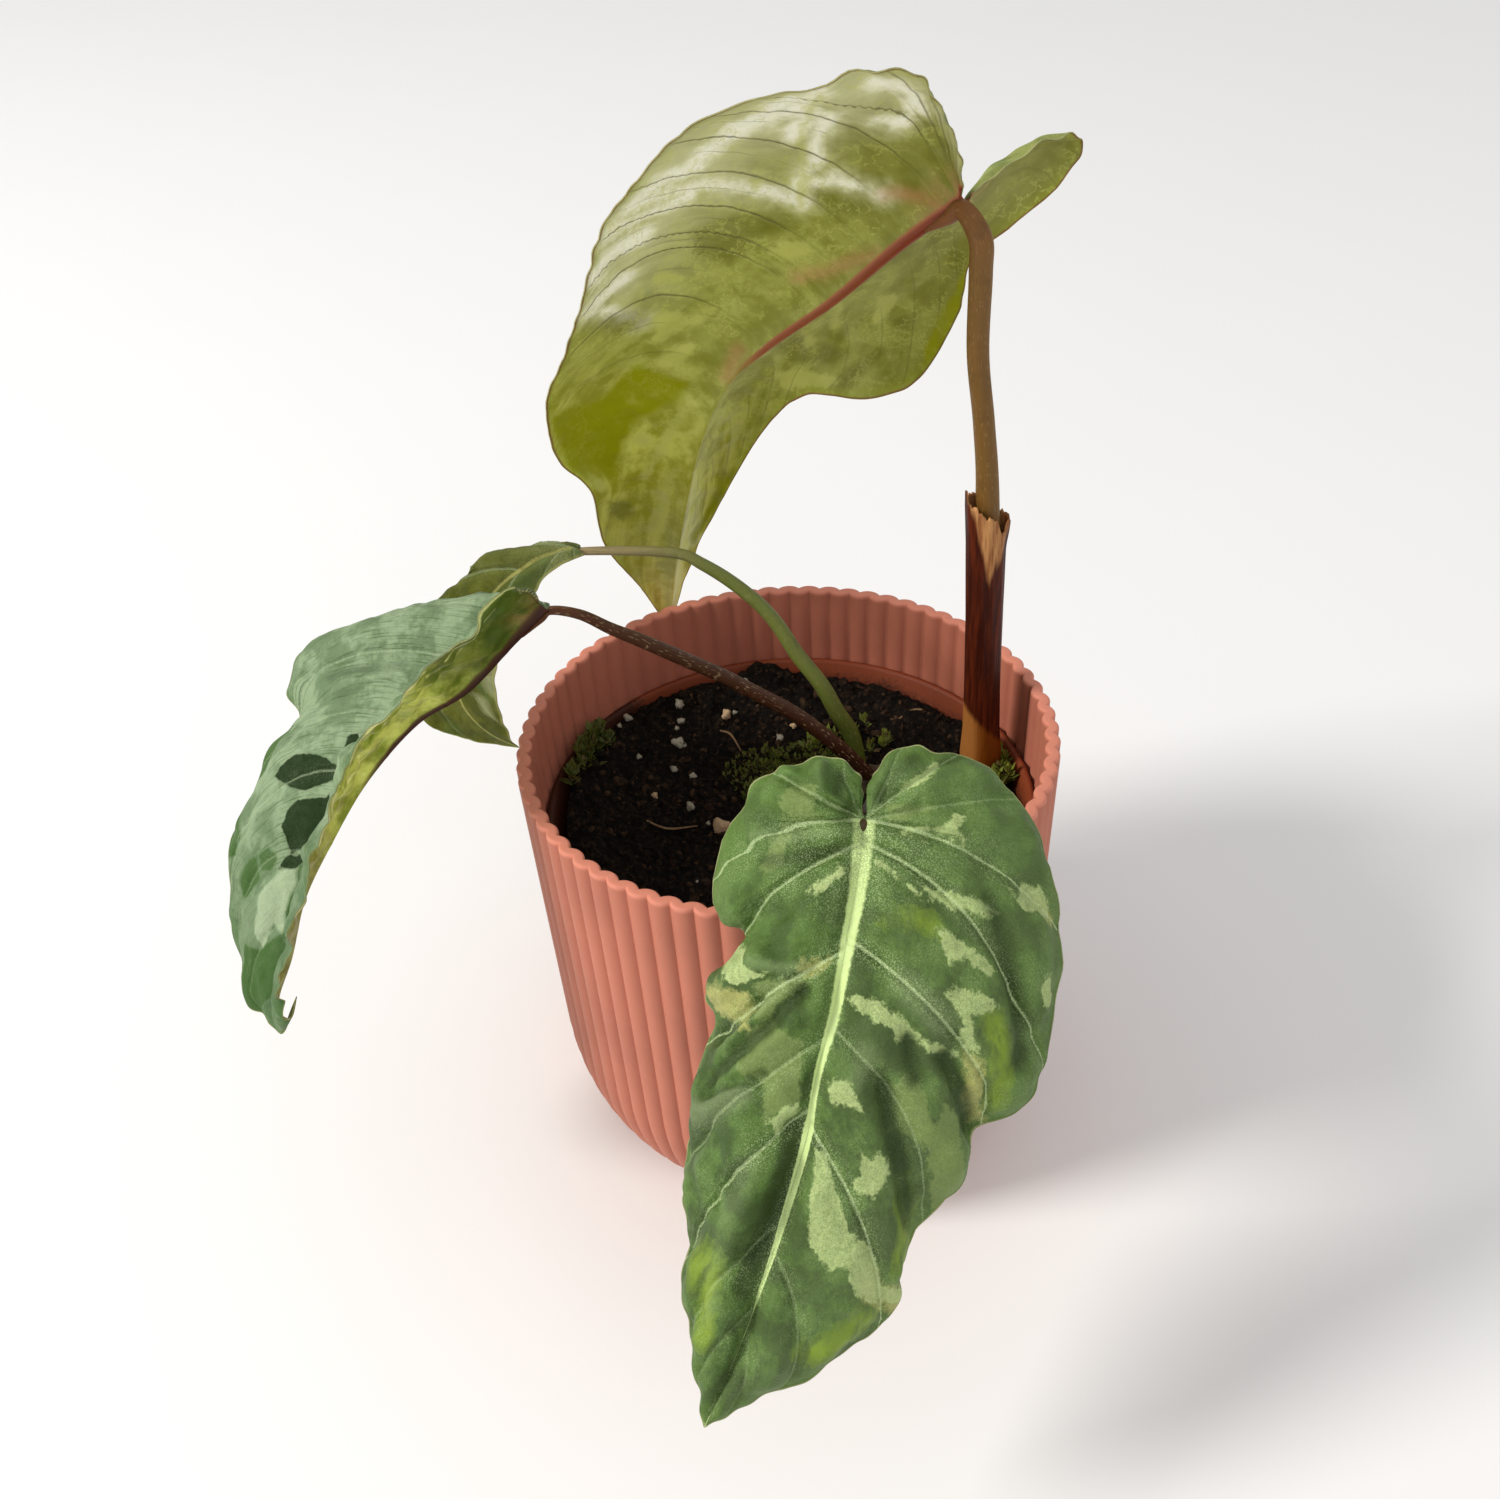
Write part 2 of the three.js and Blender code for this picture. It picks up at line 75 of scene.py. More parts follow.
# The camera fitted to the photograph: its place and directions, then its lens and sensor, in millimetres
CAMERA_PLACE = (0.0, -344.9, 389.1)
CAMERA_RIGHT = (0.9986, -0.0118, -0.0508)
CAMERA_UP = (0.0472, 0.6172, 0.7854)
CAMERA_BACK = (0.0221, -0.7867, 0.6169)
CAMERA_LENS = 40.38
CAMERA_SENSOR = 36
CAMERA_NEAREST = 0.01

POT_ROUND_HEIGHT = 40
POT_ROUND_RADIUS = 23
POT_DRAFT = 0.033
POT_WALL = 4
POT_FLOOR = 3.2
POT_INNER_ROUND = 20
POT_FOOT_RADIUS = 44.2
POT_LIP_ROUND = 0.8
FLUTE_START = -0.344

GROW_BASE = 41.5
GROW_SHOULDER = 62.6
GROW_SHOULDER_HEIGHT = 96
GROW_LIP = 64.8
GROW_HEIGHT = 102
GROW_WALL = 1.3
GROW_FLOOR = 1.4
GROW_FOOT = POT_FLOOR + 0.3
DRAIN_HOLES = 6
DRAIN_HOLE_RADIUS = 3.5
DRAIN_CIRCLE_RADIUS = 29

SHEATH_FOOT = 94.6
SHEATH_TOP = 178.8
SHEATH_WALL = 0.45

FLOOR_RADIUS = 2500
FLOOR_TOP = -0.05
FLOOR_UNDERSIDE = -3

FAN_ROWS = 44
MIDRIB_ROWS = 170
HALF_COLUMNS = 40

# Each leaf: the midrib's points; then each half's edge points as x, y, z and the share of the midrib they face.
# `under` is 1 where the underside faces the front. A place along a blade is -1 to 0 round its basal lobe and 0 to 1
# from the joint to the tip. `veins` are each half's side veins: the place where each leaves the midrib, the place
# where it meets the edge and its strength; `bend` is how late they turn. `quilt` is how far the blade swells
# between two veins, `crumple` how deep each half is creased and `wave` the height and number of the edge's waves.
TALL_LEAF = {
    "mid": [
        (44, 20, 253), (32, 27, 242), (16, 34, 226), (0, 37, 214), (-11, 39, 203), (-19, 44, 184),
        (-25, 54, 158), (-30, 67, 131), (-34, 81, 103),
    ],
    "left": [
        (44, 18, 257, 0), (42, 12, 267, 0), (37, 4, 279, 0), (31, -4, 288, 0), (20, -7, 290, 0),
        (12, -7, 287, 0.03), (1, -8, 287, 0.08), (-11, -7, 282, 0.15), (-22, -5, 274, 0.23),
        (-32, 0, 261, 0.32), (-39, 8, 245, 0.41), (-46, 16, 225, 0.5), (-54, 24, 208, 0.58),
        (-54, 33, 188, 0.68), (-48, 41, 174, 0.76), (-47, 53, 150, 0.85), (-40, 68, 126, 0.93),
    ],
    "right": [
        (47, 21, 255, 0), (53, 24, 258, 0), (62, 28, 262, 0), (70, 33, 262, 0), (73, 37, 257, 0),
        (68, 39, 248, 0), (58, 38, 240, 0.02), (49, 40, 231, 0.06), (47, 49, 213, 0.13), (38, 58, 192, 0.22),
        (25, 58, 188, 0.31), (9, 51, 193, 0.4), (-2, 57, 181, 0.52), (-17, 71, 149, 0.7), (-26, 74, 129, 0.86),
    ],
    "arches": ((-1, 8, 4), (1, 6, 4)),
    "under": 1,
    "veins": (
        [
            (-1.3, -1.3, 0), (-0.75, -0.72, 0.6), (-0.5, -0.42, 0.7), (-0.25, -0.12, 0.8), (-0.02, 0.09, 1),
            (0.03, 0.14, 1), (0.11, 0.2, 1), (0.17, 0.28, 0.9), (0.22, 0.36, 1), (0.26, 0.43, 0.9), (0.28, 0.47, 1),
            (0.38, 0.52, 0.9), (0.48, 0.62, 0.4), (0.58, 0.72, 0.2), (0.7, 0.85, 0.2), (1.2, 1.3, 0),
        ],
        [
            (-1.3, -1.3, 0), (-0.7, -0.7, 0.3), (-0.4, -0.35, 0.3), (-0.1, 0, 0.3), (0.05, 0.12, 0.3),
            (0.15, 0.25, 0.3), (0.27, 0.38, 0.3), (0.4, 0.55, 0.3), (0.55, 0.7, 0.3), (0.7, 0.85, 0.2), (1.2, 1.3, 0),
        ],
    ),
    "bend": 2.4,
    "quilt": 0.35,
    "crumple": (0.2, 0.3),
    "wave": (0.4, 6),
}
FRONT_LEAF = {
    "mid": [
        (15, -84, 165), (13, -94, 157), (10, -103, 148), (7, -111, 138), (3, -118, 127), (0, -126, 115),
        (-6, -135, 99), (-11, -142, 88), (-16, -147, 76), (-24, -156, 62),
    ],
    "left": [
        (15, -80, 168, 0), (14, -76, 170, 0), (9, -73, 173, 0), (1, -73, 171, 0), (-5, -72, 168, 0),
        (-12, -75, 158, 0), (-17, -80, 145, 0.02), (-16, -83, 137, 0.06), (-11, -88, 139, 0.09),
        (-13, -89, 132, 0.13), (-19, -92, 125, 0.17), (-18, -96, 121, 0.22), (-22, -101, 109, 0.31),
        (-26, -113, 94, 0.45), (-26, -123, 88, 0.56), (-27, -136, 78, 0.7), (-26, -144, 71, 0.8),
        (-25, -151, 65, 0.92),
    ],
    "right": [
        (17, -78, 169, 0), (19, -76, 173, 0), (25, -73, 175, 0), (30, -75, 174, 0), (38, -73, 171, 0),
        (47, -77, 163, 0), (53, -84, 152, 0), (55, -92, 141, 0.04), (53, -103, 127, 0.12),
        (50, -111, 116, 0.2), (44, -116, 110, 0.27), (35, -120, 110, 0.32), (33, -124, 101, 0.37),
        (23, -131, 95, 0.44), (19, -136, 86, 0.51), (14, -142, 76, 0.6), (-2, -149, 68, 0.74),
        (-18, -153, 63, 0.9),
    ],
    "arches": ((-3, -6, 5), (3, -5, 4)),
    "under": -1,
    "veins": (
        [
            (-1.3, -1.3, 0), (-0.7, -0.66, 0.3), (-0.3, -0.24, 0.5), (0, 0.02, 0.9), (0.04, 0.1, 1),
            (0.23, 0.27, 1), (0.38, 0.46, 0.4), (0.5, 0.63, 0.9), (0.66, 0.78, 0.3), (0.8, 0.9, 0.2), (1.2, 1.3, 0),
        ],
        [
            (-1.3, -1.3, 0), (-0.75, -0.7, 0.3), (-0.53, -0.38, 0.5), (-0.2, -0.16, 0.3), (0, 0.05, 1), (0.04, 0.2, 1),
            (0.21, 0.31, 1), (0.36, 0.44, 0.4), (0.53, 0.61, 1), (0.7, 0.8, 0.3), (0.85, 0.93, 0.2), (1.2, 1.3, 0),
        ],
    ),
    "bend": 1.6,
    "quilt": 2.0,
    "crumple": (0.5, 0.45),
    "wave": (0.5, 6),
}
LEFT_LEAF = {
    "mid": [
        (-57, -2, 167), (-66, -4, 159), (-78, -9, 149), (-91, -15, 144), (-104, -23, 133), (-114, -31, 120),
        (-122, -37, 107), (-127, -43, 93), (-132, -47, 82), (-132, -50, 74), (-127, -47, 83),
    ],
    "left": [
        (-61, 2, 167, 0), (-68, 9, 164, 0), (-76, 15, 156, 0), (-85, 18, 153, 0), (-99, 20, 148, 0.02),
        (-114, 20, 146, 0.08), (-125, 17, 144, 0.16), (-130, 12, 136, 0.24), (-126, 6, 132, 0.29),
        (-135, 2, 123, 0.38), (-143, -7, 111, 0.46), (-147, -17, 101, 0.53), (-146, -29, 86, 0.63),
        (-144, -38, 73, 0.72), (-137, -45, 73, 0.8), (-132, -50, 73, 0.9),
    ],
    "right": [
        (-58, -6, 172, 0), (-62, -12, 180, 0), (-69, -18, 177, 0.02), (-72, -23, 174, 0.07),
        (-80, -30, 171, 0.15), (-87, -35, 166, 0.24), (-94, -39, 161, 0.32), (-102, -42, 153, 0.4),
        (-103, -44, 148, 0.44), (-110, -48, 135, 0.53), (-116, -52, 122, 0.63), (-123, -55, 106, 0.73),
        (-128, -55, 92, 0.82), (-128, -52, 80, 0.92),
    ],
    "arches": ((-4, 3, 6), (-1, 0, 1)),
    "under": -1,
    "veins": (
        [
            (-1.3, -1.3, 0), (-0.6, -0.5, 0.4), (-0.2, -0.1, 0.5), (0.03, 0.12, 0.6), (0.16, 0.3, 1), (0.3, 0.42, 0.7),
            (0.4, 0.56, 0.9), (0.52, 0.68, 0.5), (0.64, 0.8, 0.4), (0.8, 0.92, 0.3), (1.2, 1.3, 0),
        ],
        [
            (-1.3, -1.3, 0), (-0.5, -0.4, 0.4), (0, 0.1, 0.5), (0.12, 0.24, 0.6), (0.24, 0.38, 0.6),
            (0.36, 0.52, 0.6), (0.5, 0.66, 0.6), (0.65, 0.8, 0.4), (0.8, 0.93, 0.3), (1.2, 1.3, 0),
        ],
    ),
    "bend": 1.8,
    "quilt": 0.8,
    "crumple": (0.35, 0.7),
    "wave": (0.6, 9),
}
BACK_LEAF = {
    "mid": [
        (-53, 38, 159), (-64, 42, 153), (-77, 50, 140), (-89, 60, 120), (-97, 66, 102), (-98, 68, 88),
        (-92, 66, 79), (-82, 62, 75),
    ],
    "left": [
        (-56, 40, 160, 0), (-61, 44, 156, 0), (-68, 48, 151, 0), (-78, 54, 141, 0.05), (-83, 57, 138, 0.1),
        (-88, 60, 137, 0.14), (-93, 64, 125, 0.2), (-106, 72, 110, 0.3), (-117, 78, 93, 0.42),
        (-117, 78, 82, 0.55), (-108, 75, 73, 0.72), (-93, 69, 72, 0.88),
    ],
    "right": [
        (-51, 36, 158, 0), (-55, 35, 157, 0), (-58, 36, 155, 0.02), (-63, 38, 150, 0.1), (-67, 41, 143, 0.18),
        (-73, 45, 134, 0.28), (-78, 49, 124, 0.38), (-83, 53, 112, 0.5), (-85, 57, 100, 0.62),
        (-85, 60, 87, 0.76), (-84, 61, 79, 0.9),
    ],
    "arches": ((-5, 4, 5), (-3, 2, 4)),
    "under": -1,
    "veins": (
        [
            (-1.3, -1.3, 0), (-0.5, -0.4, 0.5), (0, 0.1, 0.6), (0.2, 0.36, 0.6), (0.42, 0.6, 0.6),
            (0.66, 0.82, 0.4), (1.2, 1.3, 0),
        ],
        [
            (-1.3, -1.3, 0), (-0.5, -0.4, 0.5), (0, 0.1, 0.6), (0.2, 0.36, 0.6), (0.42, 0.6, 0.6),
            (0.66, 0.82, 0.4), (1.2, 1.3, 0),
        ],
    ),
    "bend": 1.8,
    "quilt": 0.5,
    "crumple": (0.3, 0.3),
    "wave": (0.4, 6),
}
LEAVES = {"tall": TALL_LEAF, "front": FRONT_LEAF, "left": LEFT_LEAF, "back": BACK_LEAF}

# Markings by leaf and kind. Each is the outline of a patch: places along the blade and across it, from -1 at the
# left edge to 1 at the right one.
MARKS = {
    "front": {
        "pale": [
            [(0.09, -0.35), (0.075, -0.3), (0.08, -0.21), (0.065, -0.12), (0.1, -0.05), (0.095, -0.14),
             (0.1, -0.23)],
            [(-0.545, 0.46), (-0.5, 0.63), (-0.475, 0.84), (-0.43, 0.87), (-0.41, 0.69), (-0.43, 0.51),
             (-0.5, 0.43)],
            [(0, 0.16), (-0.045, 0.35), (-0.135, 0.46), (-0.115, 0.54), (-0.045, 0.43), (0, 0.49),
             (0, 0.33), (0.01, 0.16)],
            [(0.065, 0.05), (0.065, 0.1), (0.08, 0.21), (0.09, 0.28), (0.095, 0.26), (0.08, 0.16),
             (0.075, 0.1)],
            [(0.075, 0.23), (0.065, 0.35), (0.06, 0.49), (0.065, 0.6), (0.075, 0.54), (0.085, 0.41),
             (0.085, 0.28)],
            [(0.12, 0.3), (0.115, 0.38), (0.12, 0.49), (0.125, 0.6), (0.14, 0.57), (0.14, 0.43),
             (0.16, 0.38), (0.14, 0.35)],
            [(0.03, 0.63), (0.035, 0.69), (0.025, 0.75), (0.025, 0.9), (0.045, 0.9), (0.045, 0.81),
             (0.05, 0.72)],
            [(0.105, 0.84), (0.095, 0.87), (0.1, 0.9), (0.125, 0.94), (0.13, 0.87), (0.12, 0.84)],
            [(0.2, 0.38), (0.18, 0.43), (0.165, 0.54), (0.17, 0.63), (0.205, 0.51), (0.225, 0.57),
             (0.24, 0.63), (0.255, 0.57), (0.235, 0.51), (0.22, 0.49), (0.205, 0.43)],
            [(0.3, 0.05), (0.28, 0.08), (0.27, 0.19), (0.275, 0.3), (0.275, 0.41), (0.265, 0.49),
             (0.26, 0.57), (0.275, 0.54), (0.29, 0.43), (0.29, 0.33), (0.315, 0.33), (0.295, 0.26),
             (0.305, 0.12)],
            [(0.14, -0.87), (0.13, -0.84), (0.155, -0.6), (0.165, -0.6), (0.2, -0.43), (0.205, -0.49),
             (0.19, -0.66)],
            [(0.435, 0.08), (0.42, 0.1), (0.405, 0.16), (0.41, 0.21), (0.425, 0.28), (0.445, 0.16),
             (0.455, 0.1)],
            [(0.47, 0.35), (0.465, 0.41), (0.44, 0.46), (0.445, 0.57), (0.465, 0.57), (0.505, 0.49),
             (0.535, 0.33), (0.5, 0.38)],
            [(0.545, 0.05), (0.535, 0.12), (0.545, 0.19), (0.565, 0.28), (0.58, 0.41), (0.565, 0.51),
             (0.565, 0.66), (0.58, 0.72), (0.57, 0.84), (0.535, 1), (0.56, 1), (0.595, 0.84), (0.625, 0.63),
             (0.61, 0.49), (0.635, 0.38), (0.64, 0.19), (0.62, 0.17), (0.6, 0.12)],
            [(0.47, -0.26), (0.465, -0.16), (0.47, -0.08), (0.495, -0.08), (0.495, -0.14), (0.51, -0.19)],
        ],
        "green": [
            [(0.155, 0.12), (0.14, 0.12), (0.12, 0.19), (0.11, 0.3), (0.125, 0.33), (0.13, 0.21)],
            [(0.19, 0.57), (0.18, 0.66), (0.205, 0.72), (0.255, 0.81), (0.29, 0.9), (0.28, 0.81),
             (0.245, 0.66)],
            [(0.62, -0.72), (0.635, -0.54), (0.675, -0.46), (0.755, -0.46), (0.825, -0.57), (0.78, -0.72),
             (0.695, -0.72)],
            [(0.455, 0.66), (0.435, 0.72), (0.44, 0.87), (0.48, 0.97), (0.525, 0.97), (0.555, 0.81),
             (0.5, 0.75)],
            [(0.67, 0.72), (0.625, 0.72), (0.605, 0.84), (0.655, 0.9), (0.725, 0.81), (0.76, 0.6),
             (0.705, 0.66)],
        ],
        # On the front leaf the dark patch is painted shade over the raised fold left of the midrib.
        "dark": [
            [(0.375, -0.9), (0.37, -0.6), (0.385, -0.42), (0.41, -0.42), (0.425, -0.6), (0.44, -0.85),
             (0.42, -1), (0.39, -1)],
        ],
        "sage": [
            [(0.375, 0.33), (0.36, 0.38), (0.34, 0.41), (0.335, 0.54), (0.36, 0.57), (0.365, 0.63),
             (0.39, 0.72), (0.395, 0.63), (0.4, 0.46), (0.39, 0.38)],
            [(0.36, 0.63), (0.33, 0.69), (0.325, 0.84), (0.36, 0.81), (0.375, 0.94), (0.395, 1), (0.42, 1),
             (0.42, 0.9), (0.405, 0.78), (0.395, 0.69)],
            [(0.295, -0.5), (0.29, -0.38), (0.36, -0.14), (0.47, -0.08), (0.465, -0.16), (0.475, -0.26),
             (0.41, -0.3), (0.375, -0.41), (0.35, -0.52)],
            [(0.205, -0.54), (0.22, -0.41), (0.235, -0.23), (0.255, -0.19), (0.275, -0.38), (0.28, -0.46),
             (0.235, -0.54)],
            [(0.025, -0.57), (0.01, -0.54), (0.01, -0.43), (0.03, -0.43), (0.03, -0.51)],
            [(-0.475, 0.21), (-0.25, 0.3), (-0.205, 0.38), (-0.16, 0.33), (-0.115, 0.21), (-0.045, 0.1)],
            [(-0.135, -0.63), (-0.32, -0.66), (-0.365, -0.54), (-0.025, -0.28), (0.005, -0.49)],
        ],
        "straw": [
            [(0.175, -0.94), (0.175, -0.81), (0.195, -0.69), (0.22, -0.6), (0.29, -0.49), (0.275, -0.6),
             (0.255, -0.72), (0.21, -0.94)],
            [(0.255, 0.54), (0.245, 0.63), (0.275, 0.72), (0.295, 0.84), (0.305, 1), (0.32, 0.94),
             (0.305, 0.78), (0.28, 0.63)],
            [(0.595, 0.54), (0.57, 0.66), (0.58, 0.75), (0.54, 1), (0.58, 1), (0.6, 0.84), (0.62, 0.66)],
            [(0.205, -0.26), (0.22, -0.16), (0.235, -0.07), (0.245, -0.1), (0.245, -0.19), (0.225, -0.26)],
            [(0.035, 0.78), (0.03, 0.87), (0.04, 0.92), (0.055, 0.9), (0.045, 0.84)],
        ],
    },
    "left": {
        "dark": [
            [(0.43, -0.63), (0.42, -0.6), (0.4, -0.51), (0.395, -0.38), (0.395, -0.26), (0.4, -0.14),
             (0.42, -0.14), (0.435, -0.23), (0.445, -0.28), (0.445, -0.43)],
            [(0.375, -0.2), (0.355, -0.22), (0.34, -0.14), (0.345, -0.06), (0.37, -0.05), (0.38, -0.1)],
            [(0.475, -0.35), (0.46, -0.3), (0.445, -0.14), (0.435, -0.12), (0.425, -0.07), (0.47, -0.07),
             (0.5, -0.1), (0.52, -0.12), (0.535, -0.21), (0.51, -0.28), (0.5, -0.33)],
            [(0.56, -0.26), (0.54, -0.23), (0.53, -0.1), (0.535, -0.08), (0.555, -0.12)],
        ],
        "pale": [
            [(0.575, -0.3), (0.565, -0.23), (0.545, -0.12), (0.58, -0.08), (0.625, -0.12), (0.66, -0.12),
             (0.645, -0.26), (0.665, -0.33), (0.68, -0.41), (0.655, -0.49), (0.605, -0.43)],
        ],
        "green": [
            [(0.54, -0.49), (0.53, -0.41), (0.535, -0.35), (0.545, -0.3), (0.565, -0.33), (0.565, -0.46)],
            [(0.575, -0.72), (0.545, -0.6), (0.54, -0.51), (0.58, -0.46), (0.6, -0.66)],
            [(0.44, -0.86), (0.43, -1), (0.37, -1), (0.335, -0.9), (0.345, -0.78), (0.38, -0.82),
             (0.41, -0.82)],
            [(0.54, -0.13), (0.535, -0.09), (0.605, -0.05), (0.665, -0.09), (0.7, -0.14), (0.655, -0.13),
             (0.59, -0.1)],
            [(0.52, -1), (0.49, -1), (0.465, -0.9), (0.51, -0.75), (0.53, -0.81)],
            [(0.735, -1), (0.655, -0.69), (0.68, -0.46), (0.66, -0.12), (0.7, 0), (0.795, 0), (0.78, -1)],
        ],
    },
    "tall": {
        "pale": [
            [(0.275, -0.3), (0.245, -0.28), (0.225, -0.23), (0.23, -0.16), (0.245, -0.19), (0.265, -0.23)],
            [(0.395, -0.66), (0.375, -0.57), (0.375, -0.49), (0.38, -0.43), (0.39, -0.49), (0.4, -0.6)],
            [(0.035, -0.97), (0.035, -0.87), (0.08, -0.69), (0.105, -0.63), (0.145, -0.46), (0.165, -0.38),
             (0.195, -0.33), (0.19, -0.38), (0.155, -0.46), (0.125, -0.6), (0.09, -0.69)],
            [(0.455, -0.54), (0.435, -0.49), (0.425, -0.35), (0.375, -0.26), (0.425, -0.28), (0.465, -0.38),
             (0.495, -0.49), (0.495, -0.54), (0.47, -0.49)],
            [(0.72, -0.87), (0.73, -0.81), (0.755, -0.78), (0.77, -0.9), (0.755, -0.97)],
            [(0.655, -0.43), (0.635, -0.35), (0.645, -0.3), (0.665, -0.35)],
            [(0.595, -0.54), (0.575, -0.46), (0.59, -0.42)],
            [(0.575, -0.38), (0.56, -0.33), (0.57, -0.28)],
            [(0.5, -0.41), (0.465, -0.28), (0.465, -0.23), (0.5, -0.28), (0.525, -0.33), (0.525, -0.41)],
            [(0.73, -0.46), (0.68, -0.3), (0.605, -0.21), (0.555, -0.14), (0.555, -0.08), (0.6, -0.14),
             (0.665, -0.21), (0.725, -0.33)],
            [(0.82, -0.43), (0.745, -0.26), (0.68, -0.14), (0.675, -0.08), (0.745, -0.16), (0.82, -0.3)],
            [(0.335, 0.21), (0.325, 0.21), (0.335, 0.43), (0.36, 0.46)],
            [(0.3, 0.28), (0.255, 0.08), (0.26, 0.21), (0.295, 0.38), (0.31, 0.46)],
            [(0.44, 0.54), (0.39, 0.69), (0.34, 0.84), (0.335, 0.87), (0.395, 0.94), (0.445, 0.81)],
            [(0.22, 0.35), (0.195, 0.41), (0.195, 0.51), (0.225, 0.54), (0.255, 0.54)],
            [(0.21, -0.57), (0.195, -0.54), (0.2, -0.51), (0.22, -0.51)],
            [(0.645, 0.72), (0.6, 0.6), (0.53, 0.54), (0.525, 0.69), (0.59, 0.78), (0.64, 0.87)],
        ],
        "dark": [
            [(0.17, -0.38), (0.16, -0.35), (0.145, -0.26), (0.125, -0.19), (0.125, -0.14), (0.145, -0.16),
             (0.17, -0.23), (0.18, -0.3)],
            [(0.305, -0.6), (0.26, -0.51), (0.23, -0.41), (0.21, -0.28), (0.265, -0.35), (0.32, -0.35),
             (0.34, -0.51)],
            [(0.78, -0.84), (0.775, -0.57), (0.795, -0.51), (0.81, -0.69), (0.805, -0.84)],
            [(0.225, 0.57), (0.2, 0.6), (0.19, 0.72), (0.195, 0.75), (0.22, 0.69)],
            [(0.355, 0.87), (0.32, 0.75), (0.255, 0.69), (0.245, 0.75), (0.305, 0.84), (0.34, 0.94)],
            [(0.465, -0.84), (0.455, -0.78), (0.445, -0.63), (0.455, -0.54), (0.475, -0.6), (0.49, -0.78)],
            [(0.38, 0.07), (0.34, 0.05), (0.335, 0.46), (0.3, 0.63), (0.34, 0.72), (0.395, 0.57)],
        ],
        "green": [
            [(0.605, -0.97), (0.595, -0.87), (0.59, -0.66), (0.565, -0.6), (0.53, -0.49), (0.535, -0.33),
             (0.53, -0.16), (0.565, -0.19), (0.595, -0.3), (0.63, -0.41), (0.68, -0.51), (0.755, -0.75),
             (0.71, -0.78), (0.755, -1), (0.67, -0.94)],
            [(0.23, 1), (0.17, 0.87), (0.1, 0.88), (0.07, 1)],
            [(0.805, 0.43), (0.74, 0.75), (0.645, 0.87), (0.61, 0.97), (0.695, 1), (0.81, 0.84)],
        ],
    },
    "back": {
        "pale": [
            [(0.4, 0.9), (0.5, 0.8), (0.65, 0.9), (0.65, 1), (0.4, 1)],
            [(0.7, 0.66), (0.78, 0.7), (0.78, 0.85), (0.7, 0.82)],
        ],
        "dark": [
            [(0.06, 0.8), (0.14, 0.6), (0.24, 0.55), (0.2, 0.75), (0.1, 0.95)],
        ],
    },
}

# Soft streaks by leaf and kind: a radius in millimetres and the places that the streak passes through. The sheen
# streaks are painted highlights: the tall leaf's silky sheen and the lit ridges of the left leaf's creases.
STREAKS = {
    "left": {
        "sheen": [
            (0.3, [(-0.59, 1), (0, 1), (0.024, 0.98), (0.065, 0.94), (0.112, 0.78), (0.147, 0.75)]),
            (0.25, [(0.024, 0.66), (0.05, 0.8), (0.09, 0.69), (0.13, 0.54), (0.16, 0.55), (0.19, 0.78)]),
            (0.4, [(0.18, 0.87), (0.218, 0.98), (0.253, 1), (0.288, 1), (0.335, 0.97)]),
            (0.3, [(0.218, 0.66), (0.247, 0.49), (0.282, 0.46), (0.318, 0.33), (0.341, 0.41),
                   (0.353, 0.49)]),
            (0.35, [(0.353, 0.49), (0.371, 0.75), (0.394, 0.85), (0.429, 1), (0.44, 0.6)]),
            (0.3, [(0.341, 0.1), (0.365, 0.16), (0.388, 0.26), (0.418, 0.3), (0.447, 0.43)]),
            (0.25, [(0.376, 0.43), (0.4, 0.28), (0.396, 0.08)]),
            (0.25, [(0.46, 1), (0.482, 0.98), (0.506, 1), (0.55, 1)]),
        ],
    },
    "tall": {
        "sheen": [
            (2.4, [(0.3, -0.94), (0.265, -0.9), (0.224, -0.81), (0.165, -0.81), (0.118, -0.81),
                   (0.06, -0.9)]),
            (2, [(0.147, -0.84), (0.124, -0.78), (0.08, -0.78), (0.04, -0.9)]),
            (1.6, [(0.12, -0.63), (0.08, -0.72), (0.035, -0.97)]),
            (1.4, [(0.35, -0.97), (0.31, -0.84), (0.265, -0.72)]),
            (2, [(0.41, -0.97), (0.37, -0.9), (0.34, -0.78)]),
            (0.2, [(0.45, -0.93), (0.455, -0.75), (0.46, -0.6)]),
            (1.4, [(0.453, -0.97), (0.43, -0.87), (0.406, -0.78)]),
            (1.2, [(0, -0.84), (-0.136, -0.75), (-0.16, -0.6)]),
            (0.8, [(0.024, -0.57), (0.006, -0.49)]),
            (0.7, [(0.17, -0.41), (0.135, -0.46), (0.11, -0.54), (0.065, -0.66)]),
            (0.3, [(0.165, -0.38), (0.135, -0.35), (0.124, -0.28), (0.106, -0.19)]),
            (1, [(0.294, -0.9), (0.247, -0.72), (0.212, -0.51), (0.188, -0.35)]),
        ],
        "straw": [
            (1, [(0.17, -0.03), (0.2, -0.067), (0.23, -0.085), (0.265, -0.14)]),
            (1.2, [(0.0353, -0.03), (0.059, -0.12), (0.1, -0.19)]),
            (1, [(0.424, -0.067), (0.453, -0.05), (0.482, -0.02)]),
        ],
    },
}

